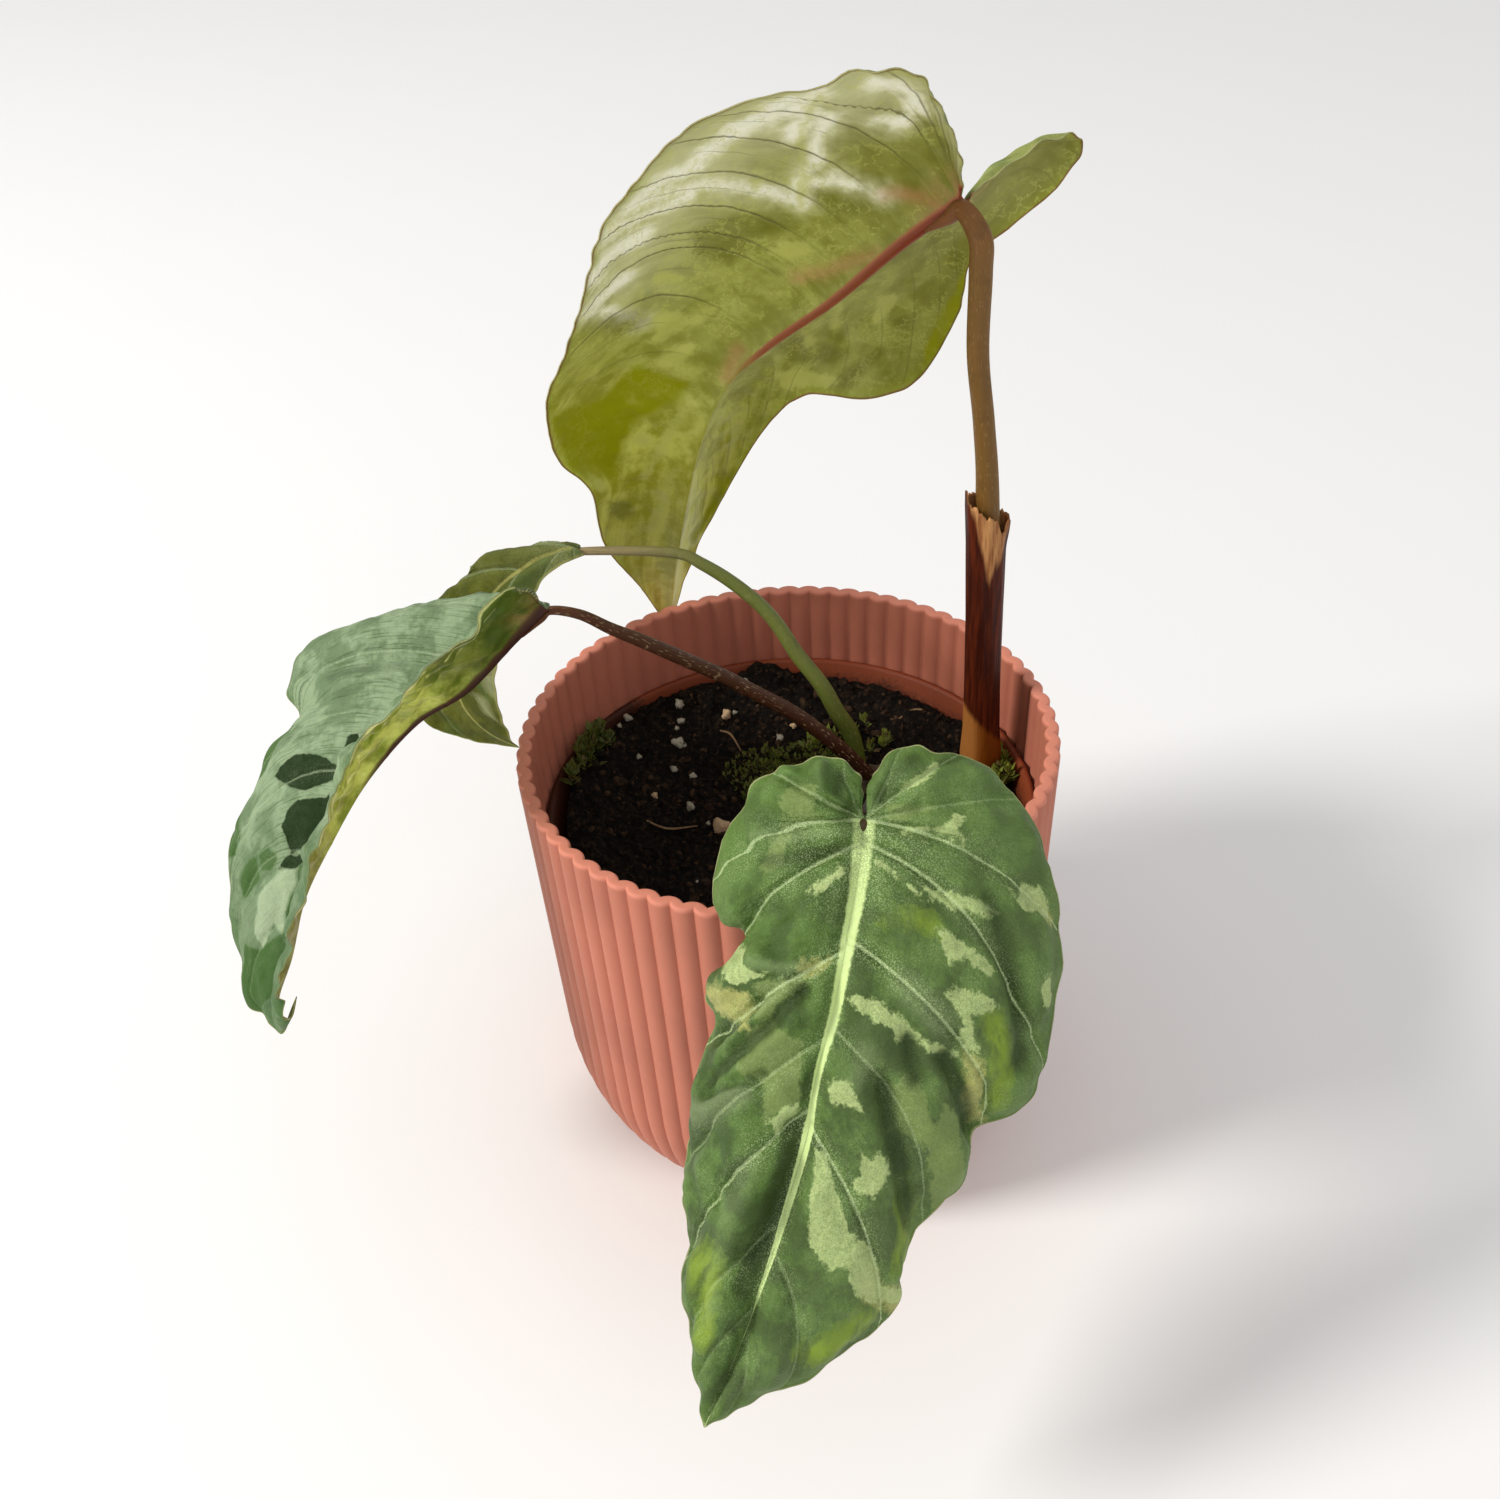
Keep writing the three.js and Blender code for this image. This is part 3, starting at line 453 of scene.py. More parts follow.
# Folds by leaf: the height in millimetres, less than 0 for a furrow, half the width, and the places along it.
FOLDS = {
    "left": [
        (0.9, 1, [(0.024, 0.66), (0.05, 0.8), (0.09, 0.69), (0.13, 0.54), (0.16, 0.55), (0.19, 0.78)]),
        (0.9, 1, [(0.218, 0.66), (0.247, 0.49), (0.282, 0.46), (0.318, 0.33), (0.341, 0.41),
                  (0.353, 0.49)]),
        (-0.9, 1.2, [(0.2, 0.75), (0.24, 0.7), (0.29, 0.66), (0.33, 0.66)]),
        (0.8, 0.9, [(0.353, 0.49), (0.371, 0.75), (0.394, 0.85)]),
        (0.9, 1, [(0.341, 0.1), (0.388, 0.26), (0.447, 0.43)]),
        (1, 1.8, [(0.28, -0.54), (0.26, -0.41), (0.22, -0.21)]),
        (-0.8, 1.6, [(0.25, -0.6), (0.23, -0.41), (0.2, -0.25)]),
    ],
    "front": [
        (1.3, 2, [(0.02, -0.08), (0.01, -0.23), (0.01, -0.41), (0.005, -0.69)]),
        (-1.1, 2, [(0.035, -0.08), (0.03, -0.23), (0.025, -0.41), (0.015, -0.6)]),
        (1.2, 2, [(-0.525, -0.81), (-0.475, -0.57), (-0.205, -0.23)]),
        (-1.2, 2.6, [(-0.615, -0.69), (-0.365, -0.19)]),
        (1.2, 1.8, [(0.22, -0.26), (0.2, -0.38), (0.175, -0.51)]),
        (-1.6, 1.8, [(0.265, -0.21), (0.295, -0.35), (0.32, -0.54), (0.345, -0.75)]),
        (1.2, 1.8, [(0.24, -0.33), (0.265, -0.46), (0.295, -0.63)]),
        (-1.3, 1.6, [(0.245, -0.51), (0.27, -0.6), (0.275, -0.81)]),
        (1.8, 3.2, [(0.395, -0.46), (0.395, -0.63), (0.39, -0.78)]),
        (-1.1, 1.4, [(0.38, -0.35), (0.37, -0.54), (0.37, -0.72)]),
        (-2, 3, [(0.525, -0.07), (0.58, -0.1), (0.64, -0.14), (0.73, -0.23)]),
        (1, 4, [(0.53, -0.33), (0.625, -0.43), (0.73, -0.46)]),
        (-1.4, 2.4, [(0.295, 0.35), (0.33, 0.49)]),
        (-1.6, 2.2, [(0.325, 0.97), (0.3, 0.69), (0.28, 0.51)]),
        (-1.6, 2.4, [(0.465, 0.84), (0.43, 0.63), (0.405, 0.43), (0.38, 0.3)]),
        (-1, 2, [(-0.615, 0.26), (-0.635, 0.51), (-0.59, 0.81)]),
        (1.2, 4, [(0.22, 0.23), (0.24, 0.41)]),
        (-1.2, 2.4, [(0.055, 0.54), (0.095, 0.66), (0.155, 0.75), (0.21, 0.81)]),
        (1.2, 4, [(0.355, 0.19), (0.395, 0.19)]),
    ],
}

# The places of a blade's grid: its rows along it, and its columns across one half and across both
ROW_PLACES = np.r_[np.arange(FAN_ROWS) / FAN_ROWS - 1, np.arange(MIDRIB_ROWS + 1) / MIDRIB_ROWS]
COLUMN_PLACES = np.linspace(0, 1, HALF_COLUMNS + 1) ** 1.3
SIDE_PLACES = np.r_[-COLUMN_PLACES[:0:-1], COLUMN_PLACES]
FOLD_DEPTH = 1.35
MARK_FIELDS = ("pale", "dark", "green", "sheen", "sage", "straw")

# Each stalk: its points, its radii spread evenly along it, and a direction that it never runs along.
STALKS = {
    "tall": (
        [
            (52.4, 14, 90), (52.1, 14, 121), (51.8, 14, 152), (51.5, 14, 183), (50, 14, 202), (48, 14, 220),
            (48, 14, 239), (47.6, 14.2, 247), (45.5, 16.7, 251.6),
        ],
        (4, 4, 3.9, 2.9, 2.6, 2.6, 2.7, 2.7, 2.2),
        (0, 1, 0),
    ),
    "front": (
        [
            (29, 9.5, 92), (27, 0, 107), (25, -14, 120.5), (23, -32, 135), (21, -52, 148), (18, -70, 158),
            (15.3, -81.8, 163.5),
        ],
        (2.3, 2.2, 2.1, 2, 1.9, 1.8, 1.5),
        (1, 0, 0),
    ),
    "left": (
        [
            (25, 14, 92), (18, 14, 102), (12, 13, 110), (3, 12, 120), (-7, 10, 129), (-16, 8, 137),
            (-25, 6, 144), (-34, 4, 151), (-42, 2, 157), (-49, 0, 163), (-55.1, -1.8, 165.7),
        ],
        (2.15, 2.1, 2, 1.9, 1.8, 1.4),
        (0, 1, 0),
    ),
    "back": (
        [
            (20, 18, 92), (18, 21, 105), (14, 22, 113), (10, 24, 121), (4, 27, 129), (-1, 30, 137),
            (-6, 32, 143), (-13, 34, 149), (-20, 35, 154), (-26, 36, 157), (-38, 37, 158), (-50.3, 38, 158.2),
        ],
        (2.35, 2.3, 2.1, 1.9, 1.75, 1.4),
        (0, 1, 0),
    ),
}
CREEPING_STEM = (
    [(-14, 17, 87.5), (0, 18, 89.5), (18, 16, 90), (36, 13, 90), (50.5, 13.5, 88)],
    (5, 7, 7.5, 7.2, 6.3),
)


def linear(text):
    """A colour written as six hex digits, as linear red, green and blue."""
    parts = np.array([int(text[i:i + 2], 16) for i in (0, 2, 4)]) / 255
    return tuple(float(c) for c in np.where(parts > 0.04045, ((parts + 0.055) / 1.055) ** 2.4, parts / 12.92))


def shades(**texts):
    """Several colours by name, each written as six hex digits."""
    return {name: linear(text) for name, text in texts.items()}


class PotSettings(bpy.types.PropertyGroup):
    rim_radius: FloatProperty(
        name="Rim radius", description="Outer radius of the cover pot at its rim", default=0.07,
        unit="LENGTH", subtype="DISTANCE")
    height: FloatProperty(
        name="Height", description="Height of the cover pot", default=0.124, unit="LENGTH", subtype="DISTANCE")
    flutes: IntProperty(name="Flutes", description="How many flutes go round the pot", default=72, min=12)
    flute_depth: FloatProperty(
        name="Flute depth", description="Depth of the groove between two flutes", default=0.0013,
        unit="LENGTH", subtype="DISTANCE")
    colour: FloatVectorProperty(
        name="Cover pot", description="Colour of the cover pot", default=linear("b9705a"),
        subtype="COLOR", min=0, max=1)
    grow_colour: FloatVectorProperty(
        name="Grow pot", description="Colour of the grow pot", default=linear("7d3719"),
        subtype="COLOR", min=0, max=1)


class MixSettings(bpy.types.PropertyGroup):
    level: FloatProperty(
        name="Level", description="Height of the potting mix at the wall", default=0.0932,
        unit="LENGTH", subtype="DISTANCE")
    crumbs: IntProperty(name="Crumbs", description="Loose crumbs of bark and peat", default=1700, min=0)
    grains: IntProperty(name="Perlite", description="White grains beside those that are placed", default=14, min=0)
    seed: IntProperty(name="Seed", description="Seed of every random draw in the mix and moss", default=7, min=0)
    colour: FloatVectorProperty(
        name="Mix", description="Colour of the damp mix", default=linear("0f0b08"), subtype="COLOR", min=0, max=1)
    moss_colour: FloatVectorProperty(
        name="Moss", description="Colour of the brightest moss", default=linear("6f7a1c"),
        subtype="COLOR", min=0, max=1)


class LeafSettings(bpy.types.PropertyGroup):
    thickness: FloatProperty(
        name="Blade thickness", description="Thickness of a blade away from its ribs", default=0.0006,
        unit="LENGTH", subtype="DISTANCE")
    green: FloatVectorProperty(
        name="Green", description="Colour of the upper side", default=linear("44602f"),
        subtype="COLOR", min=0, max=1)
    pale: FloatVectorProperty(
        name="Pale patches", description="Colour of the variegation", default=linear("b3c482"),
        subtype="COLOR", min=0, max=1)
    rib: FloatVectorProperty(
        name="Midrib", description="Colour of the midrib on the underside", default=linear("7a2808"),
        subtype="COLOR", min=0, max=1)


class StageSettings(bpy.types.PropertyGroup):
    floor: FloatVectorProperty(
        name="Floor", description="Colour of the floor", default=(0.9, 0.9, 0.9), subtype="COLOR", min=0, max=1)
    key: FloatProperty(name="Key light", description="Strength of the window side light", default=52.0, unit="POWER")
    fill: FloatProperty(name="Fill light", description="Strength of the soft front light", default=6.0, unit="POWER")
    sky: FloatProperty(name="Room light", description="Strength of the light from all round", default=0.6)


class PlantSettings(bpy.types.PropertyGroup):
    pot: PointerProperty(name="Pots", description="The cover pot and the grow pot", type=PotSettings)
    mix: PointerProperty(name="Mix", description="The potting mix and what lies on it", type=MixSettings)
    leaf: PointerProperty(name="Leaves", description="The blades", type=LeafSettings)
    stage: PointerProperty(name="Stage", description="Floor and lights", type=StageSettings)


def spline(points, place):
    """Cubic curve for places 0 to 1: each stretch is the cubic between two neighbouring points whose end
    slopes are half the step between the points on either side; the ends are carried on in a straight line."""
    p = np.asarray(points, float)
    p = np.vstack([2 * p[0] - p[1], p, 2 * p[-1] - p[-2]])
    at = np.clip(np.asarray(place, float), 0, 1) * (len(p) - 3)
    i = np.minimum(at.astype(int), len(p) - 4)
    w = (at - i)[..., None]
    before, a, b, after = p[i], p[i + 1], p[i + 2], p[i + 3]
    start, end = (b - before) / 2, (after - a) / 2
    return (2 * a - 2 * b + start + end) * w**3 + (3 * b - 3 * a - 2 * start - end) * w**2 + start * w + a


def unit(vectors):
    """Each vector divided by its length."""
    return vectors / np.maximum(np.linalg.norm(vectors, axis=-1, keepdims=True), 1e-9)


def ease(x, low, high):
    """0 below low, 1 above high and the cubic 3t^2 - 2t^3 between them."""
    t = np.clip((x - low) / (high - low), 0, 1)
    return t * t * (3 - 2 * t)


def ripple(points, size, seed, count=26):
    """Smooth noise of about -1 to 1: the sum of sine waves about `size` long in random directions and phases."""
    draw = np.random.default_rng(seed)
    way = unit(draw.normal(size=(count, 3))) * (TURN / size) * draw.uniform(0.65, 1.35, (count, 1))
    return np.sin(points @ way.T + draw.uniform(0, TURN, count)).sum(-1) * math.sqrt(2 / count)


def span(index):
    """Two triangles for each cell of a grid of point numbers; a cell closed to a line or a point gives fewer."""
    a, b, c, d = index[:-1, :-1], index[1:, :-1], index[1:, 1:], index[:-1, 1:]
    faces = np.concatenate([np.stack([a, b, c], -1).reshape(-1, 3), np.stack([a, c, d], -1).reshape(-1, 3)])
    return faces[(faces[:, 0] != faces[:, 1]) & (faces[:, 1] != faces[:, 2]) & (faces[:, 2] != faces[:, 0])]


def ringed(rings, first, last):
    """Points and faces of rows of rings, closed at each end by a fan to one point."""
    rows, count = rings.shape[:2]
    points = np.vstack([[first], rings.reshape(-1, 3), [last]])
    inner = 1 + np.arange(rows * count).reshape(rows, count)
    index = np.vstack([np.zeros((1, count), int), inner, np.full((1, count), len(points) - 1)])
    return points, span(np.hstack([index, index[:, :1]]))


def tube(points, radii, rows, sides, away, ribs=0.0):
    """A round stalk: rings square to a spline, of radius spread along it; `ribs` ripples the section five times."""
    t = np.linspace(0, 1, rows)
    centre = spline(points, t)
    along = unit(np.gradient(centre, axis=0))
    across = unit(np.array(away) - (along @ np.array(away))[:, None] * along)
    other = np.cross(along, across)
    radius = spline([(r, 0, 0) for r in radii], t)[:, 0]
    angle = TURN * np.arange(sides) / sides
    swell = radius[:, None] * (1 + ribs * np.sin(5 * angle))
    rings = (centre[:, None] + swell[..., None] * (np.cos(angle)[None, :, None] * across[:, None]
             + np.sin(angle)[None, :, None] * other[:, None]))
    length = np.r_[0, np.linalg.norm(np.diff(centre, axis=0), axis=1).cumsum()]
    shape, faces = ringed(rings, centre[0] - along[0] * radius[0] * 0.4, centre[-1] + along[-1] * radius[-1] * 0.4)
    around = np.broadcast_to(np.abs(2 * angle / TURN - 1), (rows, sides))
    place = np.stack([np.broadcast_to(length[:, None], (rows, sides)), around,
                      np.broadcast_to(t[:, None], (rows, sides))], -1).reshape(-1, 3)
    return shape, faces, np.vstack([place[:1], place, place[-1:]])


def make_piece(name, points, faces, materials, maps=None, kinds=None, node=None, slot=None, smooth=True):
    """A closed shape in millimetres becomes a mesh object in metres whose faces point outwards: they are turned
    round where the sum of the faces' signed cones from the origin is negative."""
    used, flat = np.unique(faces, return_inverse=True)
    faces = flat.reshape(faces.shape)
    points = points[used]
    corners = points[faces]
    if np.einsum("ij,ij->", corners[:, 0], np.cross(corners[:, 1], corners[:, 2])) < 0:
        faces = faces[:, ::-1]
    mesh = bpy.data.meshes.new(name)
    mesh.from_pydata((points * MM).tolist(), [], faces.tolist())
    mesh.polygons.foreach_set("use_smooth", np.full(len(faces), smooth))
    for label, values in (maps or {}).items():
        layer = mesh.attributes.new(label, "FLOAT_VECTOR", "POINT")
        layer.data.foreach_set("vector", values[used].astype(np.float32).ravel())
    for material in materials:
        mesh.materials.append(material)
    if kinds is not None:
        mesh.polygons.foreach_set("material_index", kinds.astype(np.int32))
    mesh.update()
    piece = bpy.data.objects.new(name, mesh)
    bpy.context.scene.collection.objects.link(piece)
    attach(piece, "root")
    if node:
        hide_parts(node)
    return piece


class Wire:
    """A shader socket that Python's operators work on; each operator adds one Math node."""

    def __init__(self, kit, socket):
        self.kit = kit
        self.socket = socket

    def _math(self, operation, *values):
        return self.kit.node("Math", {"operation": operation}, *values)

    def __add__(self, other):
        return self._math("ADD", self, other)

    def __sub__(self, other):
        return self._math("SUBTRACT", self, other)

    def __mul__(self, other):
        return self._math("MULTIPLY", self, other)

    def __truediv__(self, other):
        return self._math("DIVIDE", self, other)

    def __pow__(self, other):
        return self._math("POWER", self, other)

    def __rsub__(self, other):
        return self._math("SUBTRACT", other, self)

    def __rtruediv__(self, other):
        return self._math("DIVIDE", other, self)

    __radd__ = __add__
    __rmul__ = __mul__

    def least(self, other):
        return self._math("MINIMUM", self, other)

    def most(self, other):
        return self._math("MAXIMUM", self, other)

    def fold(self, period):
        """The distance to the nearest whole multiple of `period`."""
        return self._math("PINGPONG", self, period / 2)

    def rise(self, low, high):
        """0 below low, 1 above high and smooth between them; low above high turns it round."""
        kit = self.kit
        settings = {"interpolation_type": "SMOOTHSTEP"}
        if low < high:
            return kit.node("MapRange", settings, self, low, high, 0.0, 1.0)
        return kit.node("MapRange", settings, self, high, low, 1.0, 0.0)


class Kit:
    """Makes one material: its nodes, its inputs and its surface shader."""

    def __init__(self, name):
        self.material = bpy.data.materials.new(name)
        self.material.use_nodes = True
        self.tree = self.material.node_tree
        self.tree.nodes.clear()
        self.place = self.node("TexCoord", {}, out="Object")

    def node(self, kind, settings, *values, out=0, **named):
        """Adds the node ShaderNode + kind: its settings first, then its sockets in order or by name. A value may
        be a number, a colour or a Wire. The result is the output asked for."""
        made = self.tree.nodes.new("ShaderNode" + kind)
        for key, value in settings.items():
            setattr(made, key, value)
        sockets = [s for s in made.inputs if s.enabled]
        pairs = list(zip(sockets, values))
        pairs += [(next(s for s in sockets if s.name == key.replace("_", " ")), v) for key, v in named.items()]
        for socket, value in pairs:
            if isinstance(value, Wire):
                self.tree.links.new(value.socket, socket)
            elif socket.type == "RGBA" and len(value) == 3:
                socket.default_value = (*value, 1.0)
            else:
                socket.default_value = value
        outputs = [s for s in made.outputs if s.enabled]
        found = outputs[out] if isinstance(out, int) else next(s for s in outputs if s.name == out)
        return Wire(self, found)

    def noise(self, size, detail=3.0, rough=0.55, place=None):
        """Noise whose main lumps are `size` millimetres across."""
        return self.node("TexNoise", {}, Vector=place or self.place, Scale=1 / (size * MM), Detail=detail,
                         Roughness=rough)

    def flow(self, x, y, z, scale=1.0, detail=3.0, rough=0.6):
        """Noise over three numbers of the piece's own, such as a vein number, so that it runs along them."""
        at = self.node("CombineXYZ", {}, x, y, z)
        return self.node("TexNoise", {}, Vector=at, Scale=scale, Detail=detail, Roughness=rough)

    def axis(self, number):
        """The place along x, y or z in millimetres."""
        return self.node("SeparateXYZ", {}, self.place, out=number) / MM

    def stretched(self, *scale):
        """Object coordinates with each axis multiplied."""
        return self.node("Mapping", {}, self.place, Scale=scale)

    def field(self, name):
        """The three numbers of an attribute of the piece."""
        vector = self.node("Attribute", {"attribute_name": name}, out="Vector")
        return [self.node("SeparateXYZ", {}, vector, out=i) for i in range(3)]

    def mix(self, a, b, share):
        """Colour a where share is 0 and b where it is 1."""
        return self.node("Mix", {"data_type": "RGBA", "clamp_factor": True}, share, a, b)

    def bump(self, height, depth, normal=None):
        """Raises the surface by height times depth in millimetres."""
        more = {"Normal": normal} if normal else {}
        return self.node("Bump", {}, Height=height, Distance=depth * MM, Strength=1.0, **more)

    def finish(self, colour, rough, normal=None, **fixed):
        """The Principled surface; `fixed` are sockets with one value all over."""
        links = {"Base_Color": colour, "Roughness": rough, **({"Normal": normal} if normal else {}), **fixed}
        shader = self.node("BsdfPrincipled", {}, **links)
        output = self.tree.nodes.new("ShaderNodeOutputMaterial")
        self.tree.links.new(shader.socket, output.inputs["Surface"])
        return self.material


def flute_drop(angle, count, depth, shift):
    """Depth below a flute's crest: the square of the place across the flute, -1 to 1, times the groove's depth."""
    place = (angle - FLUTE_START) * count / TURN + shift
    across = 2 * (place - np.floor(place)) - 1
    return depth * np.abs(across) ** 2.2


def circle(radius, angle, height):
    """Points at an angle from the front, anticlockwise from above."""
    return np.stack(np.broadcast_arrays(radius * np.sin(angle), -radius * np.cos(angle), height), -1)


def pot_radius(height, top, rim, wall, round_radius, floor):
    """The wall's radius: a straight taper down to the shoulder, then a quarter of an ellipse to the base."""
    straight = rim - wall - POT_DRAFT * (top - np.maximum(height, POT_ROUND_HEIGHT))
    below = np.clip((POT_ROUND_HEIGHT - height) / (POT_ROUND_HEIGHT - floor), 0, 1)
    return straight - round_radius * (1 - np.sqrt(1 - below**2))


def pot_material(name, colour, grain, lip=0.0, stain_and_shade_top=0.0):
    """Matt moulded plastic with a fine grain, faint scuffs and pale dust, with a painted highlight on the lip above
    one height in mm, and below another a soil stain with painted shade, darker downwards and much darker to the left."""
    kit = Kit(name)
    cloud = kit.noise(26, 4)
    speck = kit.noise(0.9, 3)
    base = kit.mix([c * 0.93 for c in colour], [min(1, c * 1.05) for c in colour], cloud.rise(0.3, 0.7))
    base = kit.mix(base, [c * 0.72 for c in colour], speck.rise(0.62, 0.85) * 0.35)
    base = kit.mix(base, [min(1, 0.3 + c * 0.75) for c in colour], kit.noise(0.45, 2).rise(0.66, 0.8) * 0.3)
    height = kit.axis(2)
    # Painted highlight on the top of the lip, from the given height up.
    if lip:
        base = kit.mix(base, [min(1, 0.04 + c * 1.5) for c in colour], height.rise(lip, lip + 1.2) * 0.6)
    # Soil stain and painted shade: darker towards the mix, and much darker on the left, where the wall lies in shade.
    if stain_and_shade_top:
        left = kit.axis(0).rise(-36, -54)
        stain_and_shade = ((stain_and_shade_top - height) / 9 + (cloud - 0.5) * 1.5 + (speck - 0.5) + left * 1.6).rise(0.2, 0.9)
        base = kit.mix(base, [c * 0.14 for c in colour], stain_and_shade * 0.92)
    scuff = kit.noise(3, 5, place=kit.stretched(1, 1, 0.12)).rise(0.55, 0.8)
    rough = 0.52 + speck * 0.12 + scuff * 0.08
    fine = kit.bump(kit.noise(0.5, 3), grain)
    return kit.finish(base, rough, kit.bump(cloud, 0.25, fine), Subsurface_Weight=0.06,
                      Subsurface_Radius=(1.0, 0.4, 0.3), Subsurface_Scale=0.0015, Specular_IOR_Level=0.3)


class PLANT_OT_cover_pot(bpy.types.Operator):
    """Make the fluted cover pot"""

    bl_idname = "plant.cover_pot"
    bl_label = "Cover Pot"

    def execute(self, context):
        pot = context.scene.plant.pot
        top, rim, depth = pot.height / MM, pot.rim_radius / MM, pot.flute_depth / MM
        step = np.sin(np.linspace(-0.5, 0.5, 13)[:-1] * math.pi) / 2
        angle = FLUTE_START + (np.arange(pot.flutes)[:, None] + 0.5 + step).ravel() * TURN / pot.flutes
        turn_in = np.linspace(0, math.pi / 2, 5)
        lip, shoulder = POT_LIP_ROUND, top - POT_LIP_ROUND

        def row(height, inside=False, inset=0.0):
            """One ring: the wall's radius less the flute's drop, which fades out towards the base."""
            fade = ease(height, 2, 26)
            drop = fade * flute_drop(angle, pot.flutes, depth, 0.5 if inside else 0)
            if inside:
                radius = pot_radius(height, top, rim, POT_WALL, POT_INNER_ROUND, POT_FLOOR) + inset + drop
            else:
                radius = pot_radius(height, top, rim, 0, POT_ROUND_RADIUS, 0) - inset - drop
            return circle(radius, angle, height)

        curve = POT_ROUND_HEIGHT * (1 - np.cos(np.linspace(0, math.pi / 2, 13)))
        rows = [row(h) for h in curve[1:]] + [row(h) for h in np.linspace(POT_ROUND_HEIGHT, shoulder, 9)[1:]]
        rows = [circle(POT_FOOT_RADIUS * s, angle, 0.0) for s in (0.5, 1)] + rows
        rows += [row(shoulder + lip * math.sin(a), inset=lip * (1 - math.cos(a))) for a in turn_in[1:]]
        rows += [row(shoulder + lip * math.sin(a), True, lip * (1 - math.cos(a))) for a in turn_in[::-1]]
        inner = POT_FLOOR + (POT_ROUND_HEIGHT - POT_FLOOR) * (1 - np.cos(np.linspace(0, math.pi / 2, 7)))
        rows += [row(h, True) for h in np.linspace(shoulder, POT_ROUND_HEIGHT, 6)[1:]]
        rows += [row(h, True) for h in inner[-2::-1]]
        points, faces = ringed(np.array(rows), (0, 0, 0), (0, 0, POT_FLOOR))
        # The lip's painted highlight starts 1.6 mm below the top.
        material = pot_material("salmon_plastic", tuple(pot.colour), 0.05, lip=top - 1.6)
        make_piece("cover_pot_fluted", points, faces, [material], node="cover_pot")
        return {"FINISHED"}


def grow_inner(height):
    """Inner radius of the grow pot, straight from its base to its shoulder."""
    share = (height - GROW_FOOT) / (GROW_SHOULDER_HEIGHT - GROW_FOOT)
    return GROW_BASE + (GROW_SHOULDER - GROW_BASE) * share - GROW_WALL


class PLANT_OT_grow_pot(bpy.types.Operator):
    """Make the grow pot with its lip and drain holes"""

    bl_idname = "plant.grow_pot"
    bl_label = "Grow Pot"

    def execute(self, context):
        angle = TURN * np.arange(240) / 240
        floor = GROW_FOOT + GROW_FLOOR
        profile = [
            (GROW_BASE, GROW_FOOT), (GROW_SHOULDER, GROW_SHOULDER_HEIGHT),
            (GROW_LIP - 0.3, GROW_SHOULDER_HEIGHT + 0.4), (GROW_LIP, GROW_SHOULDER_HEIGHT + 0.9),
            (GROW_LIP, GROW_HEIGHT - 0.7), (GROW_LIP - 0.25, GROW_HEIGHT - 0.2),
            (GROW_LIP - 0.8, GROW_HEIGHT), (grow_inner(GROW_HEIGHT) + 1.0, GROW_HEIGHT),
            (grow_inner(GROW_HEIGHT) + 0.6, GROW_HEIGHT - 0.2),
            (grow_inner(GROW_HEIGHT - 1) + 0.4, GROW_HEIGHT - 0.8),
            (grow_inner(GROW_SHOULDER_HEIGHT + 1) + 0.3, GROW_SHOULDER_HEIGHT + 1),
            (grow_inner(GROW_SHOULDER_HEIGHT), GROW_SHOULDER_HEIGHT), (grow_inner(60), 60), (grow_inner(floor), floor),
        ]
        rows = np.array([circle(r, angle, z) for r, z in profile])
        points, faces = ringed(rows, (0, 0, GROW_FOOT), (0, 0, floor))
        brick = tuple(context.scene.plant.pot.grow_colour)
        # Below the rim the grow pot gets a soil stain and painted shade, darkest on the left.
        material = pot_material("brick_plastic", brick, 0.03, stain_and_shade_top=GROW_HEIGHT)
        piece = make_piece("nursery_pot_lipped", points, faces, [material], node="nursery_pot")
        turn = TURN * np.arange(24) / 24
        for number in range(DRAIN_HOLES):
            way = TURN * (number + 0.5) / DRAIN_HOLES
            centre = circle(DRAIN_CIRCLE_RADIUS, way, 0)
            rows = np.array([centre + circle(DRAIN_HOLE_RADIUS, turn, z) for z in (GROW_FOOT - 2, floor + 2)])
            ends = [centre + (0, 0, z) for z in (GROW_FOOT - 2, floor + 2)]
            shape, sides = ringed(rows, *ends)
            cutter = make_piece(f"hole_{number}", shape, sides, [material], slot="nursery_pot")
            cut = piece.modifiers.new("drain", "BOOLEAN")
            cut.operation = "DIFFERENCE"
            cut.solver = "EXACT"
            cut.object = cutter
        graph = context.evaluated_depsgraph_get()
        done = bpy.data.meshes.new_from_object(piece.evaluated_get(graph))
        piece.modifiers.clear()
        piece.data = done
        for number in range(DRAIN_HOLES):
            bpy.data.objects.remove(bpy.data.objects[f"hole_{number}"])
        return {"FINISHED"}


def stem_surface(x, y):
    """Height of the creeping stem's back over a place: its centre line plus a half circle of its radius."""
    points, radii = CREEPING_STEM
    line = np.array(points)
    radius = np.interp(x, line[:, 0], radii, left=0.01, right=0.01)
    off = y - np.interp(x, line[:, 0], line[:, 1])
    top = np.interp(x, line[:, 0], line[:, 2]) + np.sqrt(np.maximum(radius**2 - off**2, 0))
    return np.where(np.abs(off) < radius, top, 0)


